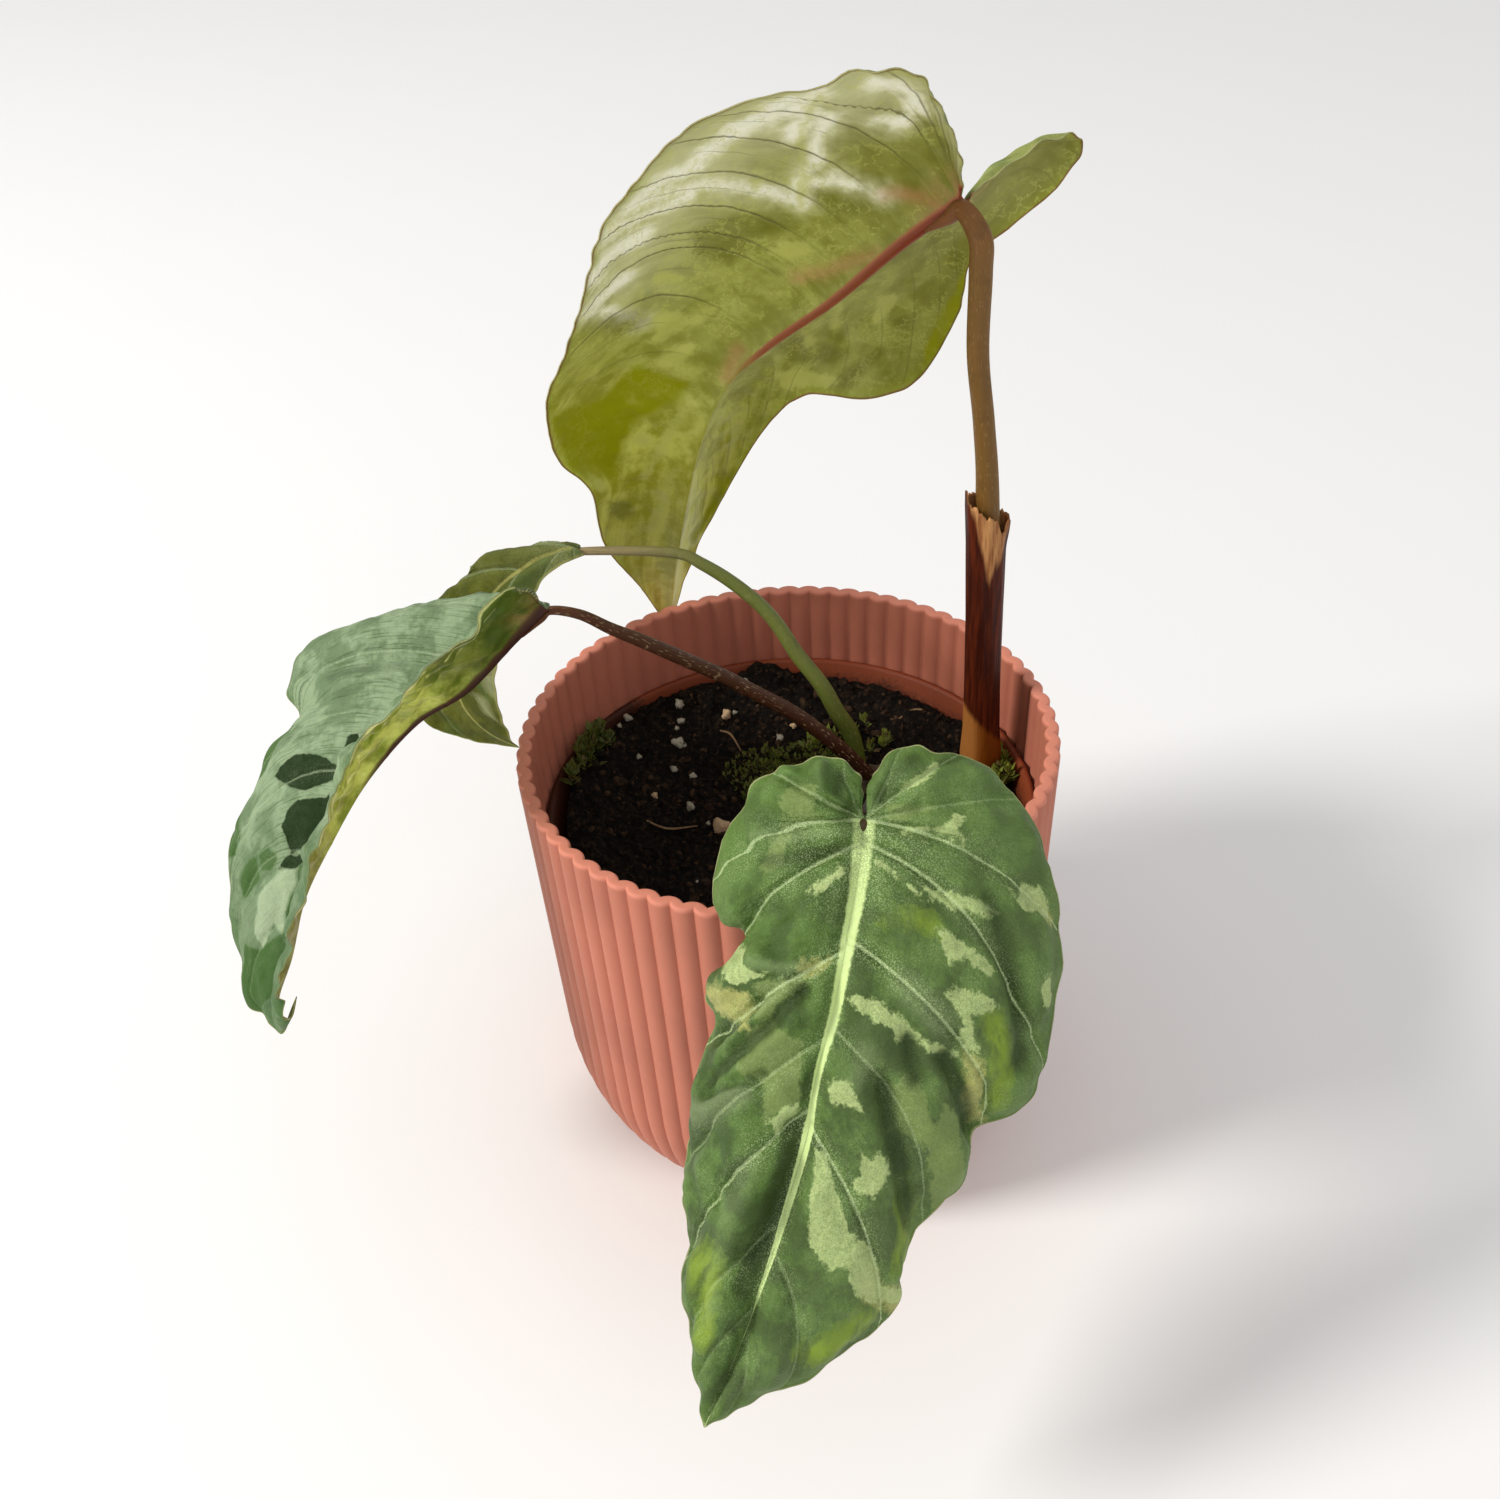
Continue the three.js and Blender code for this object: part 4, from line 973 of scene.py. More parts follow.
def mix_height(x, y, level):
    """Height of the potting mix: a low crown, long swells, lumps and crumbs, banks against the wall at the back left
    and at the right, a heap at the back and a mossy mound in the middle."""
    r = np.hypot(x, y) / GROW_SHOULDER
    way = np.arctan2(y, x)
    swell = np.sin(x / 5.1 + 0.7) * np.sin(y / 6.3 - 0.4) + 0.5 * np.sin((x + y) / 3.7)
    flat = np.stack(np.broadcast_arrays(x, y, 0.0), -1)
    lumps = 0.75 * np.abs(ripple(flat, 7, 1)) + 0.5 * np.abs(ripple(flat, 3.2, 2)) + 0.22 * ripple(flat, 1.6, 3)
    bank = 8.3 * (0.5 + 0.5 * np.cos(way - 2.6)) ** 1.2 + 4.0 * (0.5 + 0.5 * np.cos(way - 0.15)) ** 8
    heap = 4.5 * np.exp(-((x + 6) / 7) ** 2 - ((y - 58) / 6) ** 2)
    return (level + 1.4 * (1 - r * r) + 0.4 * swell + (lumps - 0.7) * ease(1 - r, 0.0, 0.06)
            + bank * ease(r, 0.55, 0.97) + heap + 2.2 * mossy(x, y))


def mossy(x, y):
    """How mossy a place on the mix is, from 0 to 1: a mound over the creeping stem."""
    return np.exp(-(((x - 2) / 14) ** 2 + ((y - 20) / 10) ** 2) ** 2)


def ground(x, y, level):
    """The top of the mix or the creeping stem, whichever is higher."""
    return np.maximum(mix_height(x, y, level), stem_surface(x, y))


def turned(count, draw):
    """Random turns as matrices, from random unit quaternions."""
    w, x, y, z = unit(draw.normal(size=(count, 4))).T
    return np.stack([
        1 - 2 * (y * y + z * z), 2 * (x * y - z * w), 2 * (x * z + y * w),
        2 * (x * y + z * w), 1 - 2 * (x * x + z * z), 2 * (y * z - x * w),
        2 * (x * z - y * w), 2 * (y * z + x * w), 1 - 2 * (x * x + y * y),
    ], -1).reshape(-1, 3, 3)


def scatter(points, faces, places, turns, sizes, tones):
    """Copies of one small shape: each is scaled by its sizes, turned and moved to its place."""
    count = len(places)
    moved = np.einsum("nij,nkj->nki", turns, points[None] * sizes[:, None]) + places[:, None]
    index = faces[None] + (np.arange(count) * len(points))[:, None, None]
    tone = np.repeat(tones, len(points), axis=0)
    return moved.reshape(-1, 3), index.reshape(-1, 3), tone


def ball(rows=4, sides=7):
    """A coarse ball of radius 1 in rings."""
    tilt = np.linspace(0, math.pi, rows + 2)[1:-1]
    angle = TURN * np.arange(sides) / sides
    rings = np.stack(np.broadcast_arrays(
        np.sin(tilt)[:, None] * np.cos(angle), np.sin(tilt)[:, None] * np.sin(angle), np.cos(tilt)[:, None]), -1)
    return ringed(rings, (0, 0, 1), (0, 0, -1))


# White grains and pebbles as x, y and radius, and dry twigs as the points that they pass through.
PERLITE = [
    (-45, 37.8, 1.2), (-30.4, 44.7, 1.7), (-30, 39.4, 1.2), (-30.8, 32.5, 1.9), (-14.1, 55.1, 1.0), (-26.6, 19.1, 1.2),
    (-41.6, 24.6, 0.9), (-31.9, 22.6, 1.0), (-1.9, 34.4, 1.3), (-26.9, 5.3, 1.2), (-47, 33, 0.8), (-14.7, 44.4, 0.9),
]
PEBBLES = [(-18.4, -3.2, 2.7), (-17, 42.5, 1.7), (2, 40, 1.1), (-37, 12, 1.2)]
TWIGS = [
    [(-22.5, 56.1, 96.5), (-23.7, 49.7, 98), (-23, 41, 96.5)],
    [(-18.9, 38.3, 96), (-15.8, 33.4, 98.2), (-13, 27.2, 97)],
    [(-8, 47, 95.5), (2, 50, 97), (12, 47, 95.6)],
    [(30, 38, 95.5), (38, 42, 97.5), (46, 37, 95.5)],
    [(-40, 2, 95), (-33, -4, 96.3), (-25, -2, 95)],
]


def mix_material(name, colour):
    """Damp peat and bark: near black, browner and drier on its raised crumbs."""
    kit = Kit(name)
    tone = kit.field("tone")[0]
    grain = kit.noise(1.6, 5, 0.7)
    brown = linear("5c4431")
    base = kit.mix(colour, brown, (grain.rise(0.48, 0.72) * 0.4 + tone * 0.6).least(1.0))
    base = kit.mix(base, linear("050302"), kit.noise(4.5, 3).rise(0.52, 0.68) * 0.7)
    base = kit.mix(base, linear("2f2a12"), kit.field("tone")[1] * grain.rise(0.3, 0.6))
    fine = kit.bump(kit.noise(0.7, 5, 0.7), 0.5)
    return kit.finish(base, 0.75 + grain * 0.2, kit.bump(grain, 0.6, fine), Specular_IOR_Level=0.12)


def grain_material(name, light, dark):
    """Pale pitted grains, dirty in their hollows."""
    kit = Kit(name)
    pits = kit.noise(0.8, 4, 0.7)
    base = kit.mix(light, dark, pits.rise(0.5, 0.75))
    return kit.finish(base, 0.9, kit.bump(pits, 0.4), Specular_IOR_Level=0.2)


class PLANT_OT_potting_mix(bpy.types.Operator):
    """Make the potting mix with its crumbs, perlite, pebbles and dry twigs"""

    bl_idname = "plant.potting_mix"
    bl_label = "Potting Mix"

    def execute(self, context):
        mix = context.scene.plant.mix
        level = mix.level / MM
        draw = np.random.default_rng(mix.seed)
        angle = TURN * np.arange(330) / 330
        edge = grow_inner(level - 1) - 0.3
        low = GROW_FOOT + GROW_FLOOR + 0.3
        radii = edge * np.linspace(1, 0.012, 105)
        flat = circle(radii[:, None], angle[None], 0.0)
        top = flat.copy()
        top[..., 2] = mix_height(flat[..., 0], flat[..., 1], level)
        top[0, :, 2] = level - 1
        rings = np.concatenate([circle(grow_inner(low) - 0.3, angle, low)[None], top])
        points, faces = ringed(rings, (0, 0, low), (0, 0, float(mix_height(0.0, 0.0, level))))
        material = mix_material("damp_mix", tuple(mix.colour))
        maps = {"tone": np.stack([0 * points[:, 0], mossy(points[:, 0], points[:, 1]), 0 * points[:, 0]], -1)}
        make_piece("potting_mix_surface", points, faces, [material], maps, node="potting_mix")

        def on_top(count, reach, sink):
            """Random places within a reach of the middle, sunk a little."""
            r = reach * np.sqrt(draw.uniform(0, 1, count))
            a = draw.uniform(0, TURN, count)
            x, y = r * np.cos(a), r * np.sin(a)
            return np.stack([x, y, mix_height(x, y, level) - sink], -1)

        shape, sides = ball(3, 6)
        count = mix.crumbs
        sizes = draw.lognormal(-0.35, 0.42, (count, 1)) * draw.uniform(0.45, 1.25, (count, 3))
        sizes[: count // 5] *= (2.6, 0.55, 0.35)
        tones = np.repeat(draw.uniform(0, 1, (count, 1)) ** 2, 3, axis=1) * (1, 0, 0)
        places = on_top(count, edge - 2.2, 0.05)
        body = scatter(shape, sides, places, turned(count, draw), sizes.clip(0.15, 2.4), tones)
        maps = {"tone": body[2]}
        make_piece("potting_mix_crumbs", *body[:2], [material], maps, slot="potting_mix", smooth=False)

        shape, sides = ball(6, 10)
        shape = shape * (1 + 0.16 * ripple(shape, 1.1, 5)[:, None])
        extra = on_top(mix.grains, edge - 4, 0.1)
        fixed = np.array([(x, y, float(mix_height(x, y, level)) + 0.2) for x, y, _ in PERLITE])
        big = np.r_[[s for *_, s in PERLITE], draw.uniform(0.35, 0.9, mix.grains)][:, None]
        places = np.vstack([fixed, extra])
        sizes = big * draw.uniform(0.75, 1.15, (len(places), 3))
        body = scatter(shape, sides, places, turned(len(places), draw), sizes, np.zeros((len(places), 3)))
        white = grain_material("perlite", linear("a39c8c"), linear("5d5444"))
        make_piece("perlite", *body[:2], [white], slot="potting_mix")
        places = np.array([(x, y, float(mix_height(x, y, level)) + 0.35 * s) for x, y, s in PEBBLES])
        sizes = np.array([[s, s * 0.85, s * 0.7] for *_, s in PEBBLES])
        body = scatter(shape, sides, places, turned(len(places), draw), sizes, np.zeros((len(places), 3)))
        cream = grain_material("cream_stone", linear("c2a583"), linear("8a6a4c"))
        make_piece("pebbles", *body[:2], [cream], slot="potting_mix")

        dry = grain_material("dry_root", linear("8a6f52"), linear("4a3524"))
        parts = [tube(line, (0.28, 0.34, 0.16), 16, 7, (0.3, 0.2, 0.93)) for line in TWIGS]
        starts = np.cumsum([0] + [len(p[0]) for p in parts])
        points = np.vstack([p[0] for p in parts])
        faces = np.vstack([p[1] + s for p, s in zip(parts, starts)])
        make_piece("dry_twigs", points, faces, [dry], slot="potting_mix")
        return {"FINISHED"}


# Each kind of moss: its patches as x, y and radius, how many shoots, the leaves of a shoot, its length and how lit,
# as painted light: a low number is painted shade.
MOSS = {
    "moss_left": ([(-58, 30, 6), (-54, 27, 5), (-57, 22, 5), (-57, 14, 5)], 48, 9, 5.2, 0.3),
    "moss_centre": (
        [(-9, 20, 9), (1, 21, 9), (11, 20, 7), (-2, 12, 7), (9, 13, 6), (-8, 10, 5)], 900, 6, 1.7, 0.45,
    ),
    "moss_sprigs": ([(21, 35, 4.5), (16, 31, 4), (25, 30, 4), (9, 30, 5)], 30, 9, 4.4, 0.85),
    "moss_right": ([(57, 13, 3), (57.5, 7, 3), (57, 18, 2.5)], 30, 9, 4.6, 1.0),
}


def moss_material(name, bright):
    """Thin green leaves in olive, brown and bright green; their share of dark green is painted shade, deeper low on
    each shoot and in the clumps set dim.
    """
    kit = Kit(name)
    tone, light, _ = kit.field("tone")
    # Painted shade: the dark green for leaves low on a shoot and in clumps set dim.
    dark = [c * 0.25 for c in bright]
    base = kit.mix(dark, bright, light)
    base = kit.mix(base, linear("5a4424"), tone.rise(0.72, 0.95) * 0.8)
    return kit.finish(base, 0.6 + kit.noise(1.0) * 0.2, Subsurface_Weight=0.2,
                      Subsurface_Radius=(0.6, 1.0, 0.2), Subsurface_Scale=0.0006)


class PLANT_OT_moss(bpy.types.Operator):
    """Grow the moss and the small leafy sprigs on the mix and the creeping stem"""

    bl_idname = "plant.moss"
    bl_label = "Moss"

    def execute(self, context):
        mix = context.scene.plant.mix
        level = mix.level / MM
        leaf = np.array([
            (0, 0, 0), (1, 0, 0.18), (0.5, 0.3, 0.04), (0.5, -0.3, 0.04), (0.5, 0, 0.1), (0.5, 0, -0.02),
        ])
        sides = np.array([
            (0, 4, 2), (4, 1, 2), (0, 3, 4), (3, 1, 4), (0, 2, 5), (2, 1, 5), (0, 5, 3), (5, 1, 3),
        ])
        material = moss_material("moss", tuple(mix.moss_colour))
        for number, (name, (patches, shoots, leaves, size, light)) in enumerate(MOSS.items()):
            draw = np.random.default_rng(mix.seed + 10 + number)
            patch = np.array(patches)[draw.integers(0, len(patches), shoots)]
            r = patch[:, 2] * np.sqrt(draw.uniform(0, 1, shoots))
            a = draw.uniform(0, TURN, shoots)
            x, y = patch[:, 0] + r * np.cos(a), patch[:, 1] + r * np.sin(a)
            pull = np.minimum(1, 60.5 / np.hypot(x, y))
            x, y = x * pull, y * pull
            foot = np.stack([x, y, ground(x, y, level) - 0.2], -1)
            tall = size * draw.uniform(0.5, 1.3, shoots)
            step = np.tile(np.arange(leaves) / leaves, shoots)
            way = draw.uniform(0, TURN, shoots * leaves)
            lift = 0.25 + 0.9 * step + draw.uniform(-0.25, 0.25, shoots * leaves)
            out = np.stack([np.cos(way) * np.cos(lift), np.sin(way) * np.cos(lift), np.sin(lift)], -1)
            across = unit(np.stack([-np.sin(way), np.cos(way), draw.uniform(-0.3, 0.3, len(way))], -1))
            turns = np.stack([out, across, unit(np.cross(out, across))], -1)
            places = np.repeat(foot, leaves, axis=0)
            places[:, 2] += step * np.repeat(tall, leaves) * 0.8
            long = size * draw.uniform(0.35, 0.8, len(way))
            sizes = long[:, None] * draw.uniform(0.8, 1.2, (len(way), 3))
            # Painted shade: lower leaves and dim clumps get darker.
            shade = np.clip(light * (0.35 + 0.75 * step) + draw.uniform(-0.12, 0.12, len(way)), 0, 1)
            tones = np.stack([draw.uniform(0, 1, len(way)), shade, step], -1)
            body = scatter(leaf, sides, places, turns, sizes, tones)
            make_piece(name, *body[:2], [material], {"tone": body[2]}, slot="rhizome", smooth=False)
        return {"FINISHED"}


class PLANT_OT_creeping_stem(bpy.types.Operator):
    """Make the half-sunk creeping stem"""

    bl_idname = "plant.creeping_stem"
    bl_label = "Creeping Stem"

    def execute(self, context):
        points, radii = CREEPING_STEM
        shape, faces, maps = tube(points, radii, 120, 48, (0, 1, 0))
        bark = 1 + 0.03 * ripple(shape, 5, 20) + 0.03 * np.sin(maps[:, 0] * TURN / 7) ** 8
        middle = spline(points, maps[:, 2])
        shape = middle + (shape - middle) * bark[:, None]
        kit = Kit("mossy_bark")
        damp = kit.noise(3, 5, 0.65)
        base = kit.mix(linear("2c1d10"), linear("5b4630"), damp.rise(0.4, 0.7))
        base = kit.mix(base, linear("4c5214"), kit.noise(5, 4).rise(0.45, 0.6) * 0.8)
        normal = kit.bump(damp, 0.8, kit.bump(kit.noise(0.8, 4), 0.4))
        material = kit.finish(base, 0.85, normal)
        make_piece("rhizome_bark", shape, faces, [material], node="rhizome")
        return {"FINISHED"}


@functools.lru_cache
def blade_shape(name):
    """The blade's middle surface and what its faces need.

    Row by row, a point is (1 - v) times a point of the midrib plus v times a point of the edge, plus the half's
    arch vector times 4v(1 - v) and the row's share of the greatest width. Rows before the midrib's first all start
    at the joint, so each basal lobe is a fan. Vein k lies at start + (end - start) times v to the power `bend`, and
    the vein number at a place is the sum, over each two neighbouring veins, of the clipped share of the way from
    one to the other, so that it is whole on every vein.
    """
    leaf = LEAVES[name]
    mid = np.array(leaf["mid"], float)
    place = ROW_PLACES
    share = np.maximum(place, 0)
    v = COLUMN_PLACES
    spine = spline(mid, share)
    halves = []
    for side, arch, veins in zip(("left", "right"), leaf["arches"], leaf["veins"]):
        edge = np.array([*leaf[side], (*mid[-1], 1.0)])
        joint = int((edge[:, 3] == 0).sum()) - 1
        at = np.arange(len(edge)) / (len(edge) - 1)
        fan = np.linspace(0, at[joint], FAN_ROWS + 1)[:-1]
        rim = spline(edge[:, :3], np.r_[fan, np.interp(share[FAN_ROWS:], edge[joint:, 3], at[joint:])])
        width = np.linalg.norm(rim - spine, axis=1)
        swell = (4 * v * (1 - v))[None] * (width / width.max())[:, None]
        grid = spine[:, None] + (rim - spine)[:, None] * v[None, :, None] + swell[..., None] * np.array(arch)
        start, end, strength = np.array(veins).T
        line = start + (end - start) * v[:, None] ** leaf["bend"]
        number = np.clip((place[:, None, None] - line[:, :-1]) / np.diff(line, axis=1), 0, 1).sum(-1)
        along, across = np.gradient(grid, axis=0), np.gradient(grid, v, axis=1)
        reach = np.maximum(np.linalg.norm(across, axis=-1), 0.5)
        on = across / reach[..., None]
        shared = (along * on).sum(-1)
        square = np.maximum(np.linalg.norm(along - shared[..., None] * on, axis=-1), 0.02)
        by_v = np.gradient(number, v, axis=1) / reach
        by_row = (np.gradient(number, axis=0) - shared * by_v) / square
        far = v[None] * width[:, None]
        halves.append({
            "grid": grid,
            "vein": np.stack([number, 1 / np.clip(np.hypot(by_v, by_row), 0.02, 4), far], -1),
            "place": np.stack(np.broadcast_arrays(place[:, None], width[:, None] - far, v[None]), -1),
            "force": np.interp(number, np.arange(len(strength)), strength),
        })
    grid, vein, place, force = (
        np.concatenate([halves[0][key][:, :0:-1], halves[1][key]], axis=1) for key in halves[0])
    index = np.arange(grid.shape[0] * grid.shape[1]).reshape(grid.shape[:2])
    index[:FAN_ROWS + 1, HALF_COLUMNS] = index[0, HALF_COLUMNS]
    index[-1] = index[-1, HALF_COLUMNS]
    faces = span(index)
    points = grid.reshape(-1, 3)
    corners = points[faces]
    flat = np.cross(corners[:, 1] - corners[:, 0], corners[:, 2] - corners[:, 0])
    normal = np.zeros_like(points)
    for corner in range(3):
        np.add.at(normal, faces[:, corner], flat)
    side = np.broadcast_to(np.sign(np.arange(grid.shape[1]) - HALF_COLUMNS), grid.shape[:2])
    more = np.stack([force, side, 0 * force], -1)
    up = unit(normal) * -leaf["under"]
    return grid, faces, index, up, *(a.reshape(-1, 3) for a in (vein, place, more))


def lines_on(grid, places):
    """Points on the blade along a list of places, by straight lines between the grid's four nearest points."""
    run = np.linspace(0, len(places) - 1, 8 * len(places))
    along, side = (np.interp(run, np.arange(len(places)), c) for c in np.array(places).T)
    row = np.interp(along, ROW_PLACES, np.arange(len(ROW_PLACES)))
    column = np.interp(side, SIDE_PLACES, np.arange(len(SIDE_PLACES)))
    i = np.minimum(row.astype(int), len(ROW_PLACES) - 2)
    j = np.minimum(column.astype(int), len(SIDE_PLACES) - 2)
    a, b = (row - i)[:, None], (column - j)[:, None]
    return ((grid[i, j] * (1 - a) + grid[i + 1, j] * a) * (1 - b)
            + (grid[i, j + 1] * (1 - a) + grid[i + 1, j + 1] * a) * b)


def from_lines(grid, points, places):
    """Millimetres from each point to a line on the blade."""
    return np.sqrt(((points[:, None] - lines_on(grid, places)[None]) ** 2).sum(-1).min(1))


def from_outline(grid, places, outline):
    """Millimetres from each place to a marking's outline, less than 0 inside it: both are scaled by the blade's size
    at the outline's middle, and a place is inside where a ray from it crosses the outline an odd number of times."""
    corners = np.array(outline, float)
    middle = corners.mean(0)
    i = int(np.clip(np.searchsorted(ROW_PLACES, middle[0]), 3, len(ROW_PLACES) - 4))
    j = int(np.clip(np.searchsorted(SIDE_PLACES, middle[1]), 3, len(SIDE_PLACES) - 4))
    size = np.array([
        np.linalg.norm(grid[i + 3, j] - grid[i - 3, j]) / (ROW_PLACES[i + 3] - ROW_PLACES[i - 3]),
        np.linalg.norm(grid[i, j + 3] - grid[i, j - 3]) / (SIDE_PLACES[j + 3] - SIDE_PLACES[j - 3]),
    ])
    a = corners * size
    step = np.roll(a, -1, axis=0) - a
    off = (places * size)[:, None] - a[None]
    share = np.clip((off * step).sum(-1) / np.maximum((step**2).sum(-1), 1e-9), 0, 1)
    gap = np.sqrt(((off - share[..., None] * step) ** 2).sum(-1).min(1))
    slope = np.where(step[:, 1] == 0, 1e-9, step[:, 1])
    passed = ((off[..., 1] < 0) != (off[..., 1] < step[:, 1])) & (off[..., 0] < off[..., 1] * step[:, 0] / slope)
    return np.where(passed.sum(1) % 2 == 1, -gap, gap)


def make_blade(context, name, upper, under):
    """The middle surface gets a swell between its veins, folds, creases and a wave along its edge. The upper face
    lies half a thickness over it, with a furrow along each vein, and the under face as far below, with ribs."""
    grid, faces, index, up, vein, place, more = blade_shape(name)
    leaf = LEAVES[name]
    points = grid.reshape(-1, 3)
    half = context.scene.plant.leaf.thickness / MM / 2
    number, gap, far = vein.T
    along, edge, v = place.T
    force, side, _ = more.T
    share = np.maximum(along, 0)
    off = np.abs(number - np.round(number))
    room = np.minimum(1, (far + edge) / 14) * ease(gap, 0.8, 5)
    body = leaf["quilt"] * (1 - (1 - 2 * off) ** 2) * ease(far, 0, 5) * ease(edge, -1, 6) * room
    fold = np.zeros(len(points))
    for height, width, line in FOLDS.get(name, ()):
        fold += height * np.exp(-(from_lines(grid, points, line) / width) ** 2) * ease(edge, -0.5, 3)
    # The folds' height is kept for the upper face's painted shade in furrows and painted highlights on ridges.
    more = np.stack([force, side, fold], -1)
    body = body + FOLD_DEPTH * fold
    tall, count = leaf["wave"]
    wave = tall * v**3 * np.sin(TURN * count * (along + 0.13 * side)) * ease(far, 0, 12)
    deep = np.where(side < 0, *leaf["crumple"]) * ease(far, 0, 6) * np.minimum(1, (far + edge) / 14)
    crease = deep * (np.abs(ripple(points, 13, 4)) + 0.5 * ripple(points, 7, 6) - 0.6)
    middle = points + up * (body + wave + crease)[:, None]
    thick = half * (0.45 + 0.55 * ease(edge, 0, 3))
    line = np.exp(-((off * gap) / 0.6) ** 2) * ease(edge, 0, 6) * room * force
    rib = np.exp(-(far / (1.5 - 1.0 * share)) ** 2) * (1 - share) ** 0.6
    top = middle + up * (thick - 0.15 * line - 0.35 * rib)[:, None]
    low = middle - up * (thick + 0.12 * line + 1.25 * rib * ease(share, 0.8, 0.3))[:, None]
    total = len(points)
    round_edge = np.r_[index[0], index[1:, -1], index[-2:0:-1, 0]]
    rim = np.stack([np.r_[round_edge, round_edge[:1]], np.r_[round_edge, round_edge[:1]] + total])
    first = leaf["under"] < 0
    front, back = (faces, faces[:, ::-1] + total) if first else (faces[:, ::-1], faces + total)
    sides = span(rim) if first else span(rim[::-1])
    every = np.vstack([front, back, sides])
    kinds = np.r_[np.zeros(len(front)), np.ones(len(back)), np.zeros(len(sides))]
    places = np.stack([along, v * side], -1)
    marks = {kind: np.full(total, 30.0) for kind in MARK_FIELDS}
    for kind, outlines in MARKS[name].items():
        for outline in outlines:
            marks[kind] = np.minimum(marks[kind], from_outline(grid, places, outline))
    for kind, streaks in STREAKS.get(name, {}).items():
        for width, streak in streaks:
            marks[kind] = np.minimum(marks[kind], from_lines(grid, points, streak) - width)
    maps = {"vein": vein, "place": place, "more": more}
    for label, kept in (("marks", MARK_FIELDS[:3]), ("marks_more", MARK_FIELDS[3:])):
        maps[label] = np.stack([marks[kind] for kind in kept], -1)
    maps = {label: np.vstack([values, values]) for label, values in maps.items()}
    make_piece(f"leaf_{name}", np.vstack([top, low]), every, [upper, under], maps, kinds, node=f"blade_{name}")


def leaf_fields(kit):
    """What every leaf material reads: vein number, distances in millimetres and noise that flows along the veins."""
    number, gap, far = kit.field("vein")
    along, edge, across = kit.field("place")
    force, side, fold = kit.field("more")
    streak = kit.flow(number * 2.4, far * 0.11, side * 5, detail=4.0)
    marks = dict(zip(MARK_FIELDS, kit.field("marks") + kit.field("marks_more")))
    return number, gap, far, along, edge, across, force, side, fold, streak, marks


def velvet(name, look):
    """The upper face: two greens in soft clouds with fine dark threads along the veins, ragged markings with a thin
    fringe, speckled veins and midrib, painted glints as fine pale grains, painted light on the right half, painted
    shade in the furrows with painted highlights on the ridges, and a thin margin."""
    kit = Kit(name)
    number, gap, far, along, edge, across, force, side, fold, streak, marks = leaf_fields(kit)
    line = number.fold(1.0) * gap
    soft, mid, fine, grain = kit.noise(10, 3), kit.noise(3.2, 5, 0.6), kit.noise(1.3, 6, 0.72), kit.noise(0.3, 2)
    teeth = kit.flow(number * 9.0, far * 0.5, side * 5)
    threads = kit.flow(number * 34.0, far * 0.12, side * 5)
    jag = ((fine - 0.5) * 3.2 + (teeth - 0.5) * 2.0 + (mid - 0.5) * 3.0) * look["rag"]
    base = kit.mix(look["dark"], look["green"], ((soft - 0.5) * 1.2 + streak * 0.6 + fine * 0.4).rise(0.36, 0.64))
    for colour, low, high, share in look["run"]:
        base = kit.mix(base, colour, along.rise(low, high) * share)
    # Painted light: the right half, which the key light reaches more, is paler.
    base = kit.mix(base, look["vein"], (side * across).rise(-0.2, 0.5) * look["bloom"])
    base = kit.mix(base, look["edge"], edge.rise(8, 0) * kit.noise(18, 2).rise(0.42, 0.62) * 0.6)
    base = kit.mix(base, look["thread"], threads.rise(0.5, 0.68) * look["threads"])
    speckle = (fine * 0.5 + grain * 0.5).rise(0.42, 0.58)
    for kind, (colour, low, high, share, gritty) in look["marks"].items():
        depth = jag - marks[kind]
        grit = 1 - gritty + (streak.rise(0.4, 0.6) if kind == "green" else speckle) * gritty
        fringe = [c * 0.6 + g * 0.4 for c, g in zip(colour, look["green"])]
        base = kit.mix(base, fringe, depth.rise(low - 0.3, low + 0.1) * grit * share * 0.7)
        base = kit.mix(base, colour, depth.rise(low + 0.1, high) * grit * share)
    # Painted shade in the furrows of the folds and painted highlights on their ridges.
    base = kit.mix(base, [c * 0.3 for c in look["green"]], fold.rise(-0.1, -1.3) * 0.75)
    base = kit.mix(base, look["vein"], fold.rise(0.3, 1.6) * 0.18)
    # Painted glints: fine pale grains of light, thickest along the veins and round the joint.
    painted_glints = grain.rise(0.47, 0.66) * look["painted_glints"]
    near = (line.rise(4.0, 0.2) * force * (1.1 - across)).most(far.rise(3.4, 0.2) * look["line"])
    joint = (far + along.most(along * -1.0) * 90).rise(26, 4)
    base = kit.mix(base, look["vein"], painted_glints * (0.05 + near.most(joint) * 0.5 + soft.rise(0.48, 0.68) * 0.16))
    wide = 0.5 - across * 0.26 + (fine - 0.5) * 1.0
    thread = (line / wide.most(0.08)).rise(1.1, 0.35) * force * (0.45 + grain.rise(0.42, 0.6) * 0.55)
    base = kit.mix(base, look["vein"], thread * look["line"])
    girth = look["rib_width"] * ((1.02 - along) ** 1.15).most(0.16)
    rib = (far / girth + (fine - 0.5) * 0.9).rise(1.1, 0.7) * along.rise(-0.12, 0.0)
    dots = grain.rise(0.44, 0.58) * (along.rise(0.2, 0.02) * 0.85 + along.rise(0.45, 0.8) * 0.5)
    base = kit.mix(base, look["rib"], rib * (1 - dots) * look["rib_share"])
    base = kit.mix(base, look["margin"], edge.rise(0.5, 0.2) * 0.6)
    puff = kit.bump(fine, 0.25, kit.bump(grain, 0.05))
    puff = kit.bump(line.rise(0.0, 1.4) * force, 0.4, puff)
    puff = kit.bump(mid, 0.7, puff)
    puff = kit.bump(threads, look["threads"] * 0.3, puff)
    return kit.finish(base, 0.48 + fine * 0.14, puff, Subsurface_Weight=0.12, Subsurface_Radius=(0.7, 1.0, 0.25),
                      Subsurface_Scale=0.001, Specular_IOR_Level=look["gloss"])


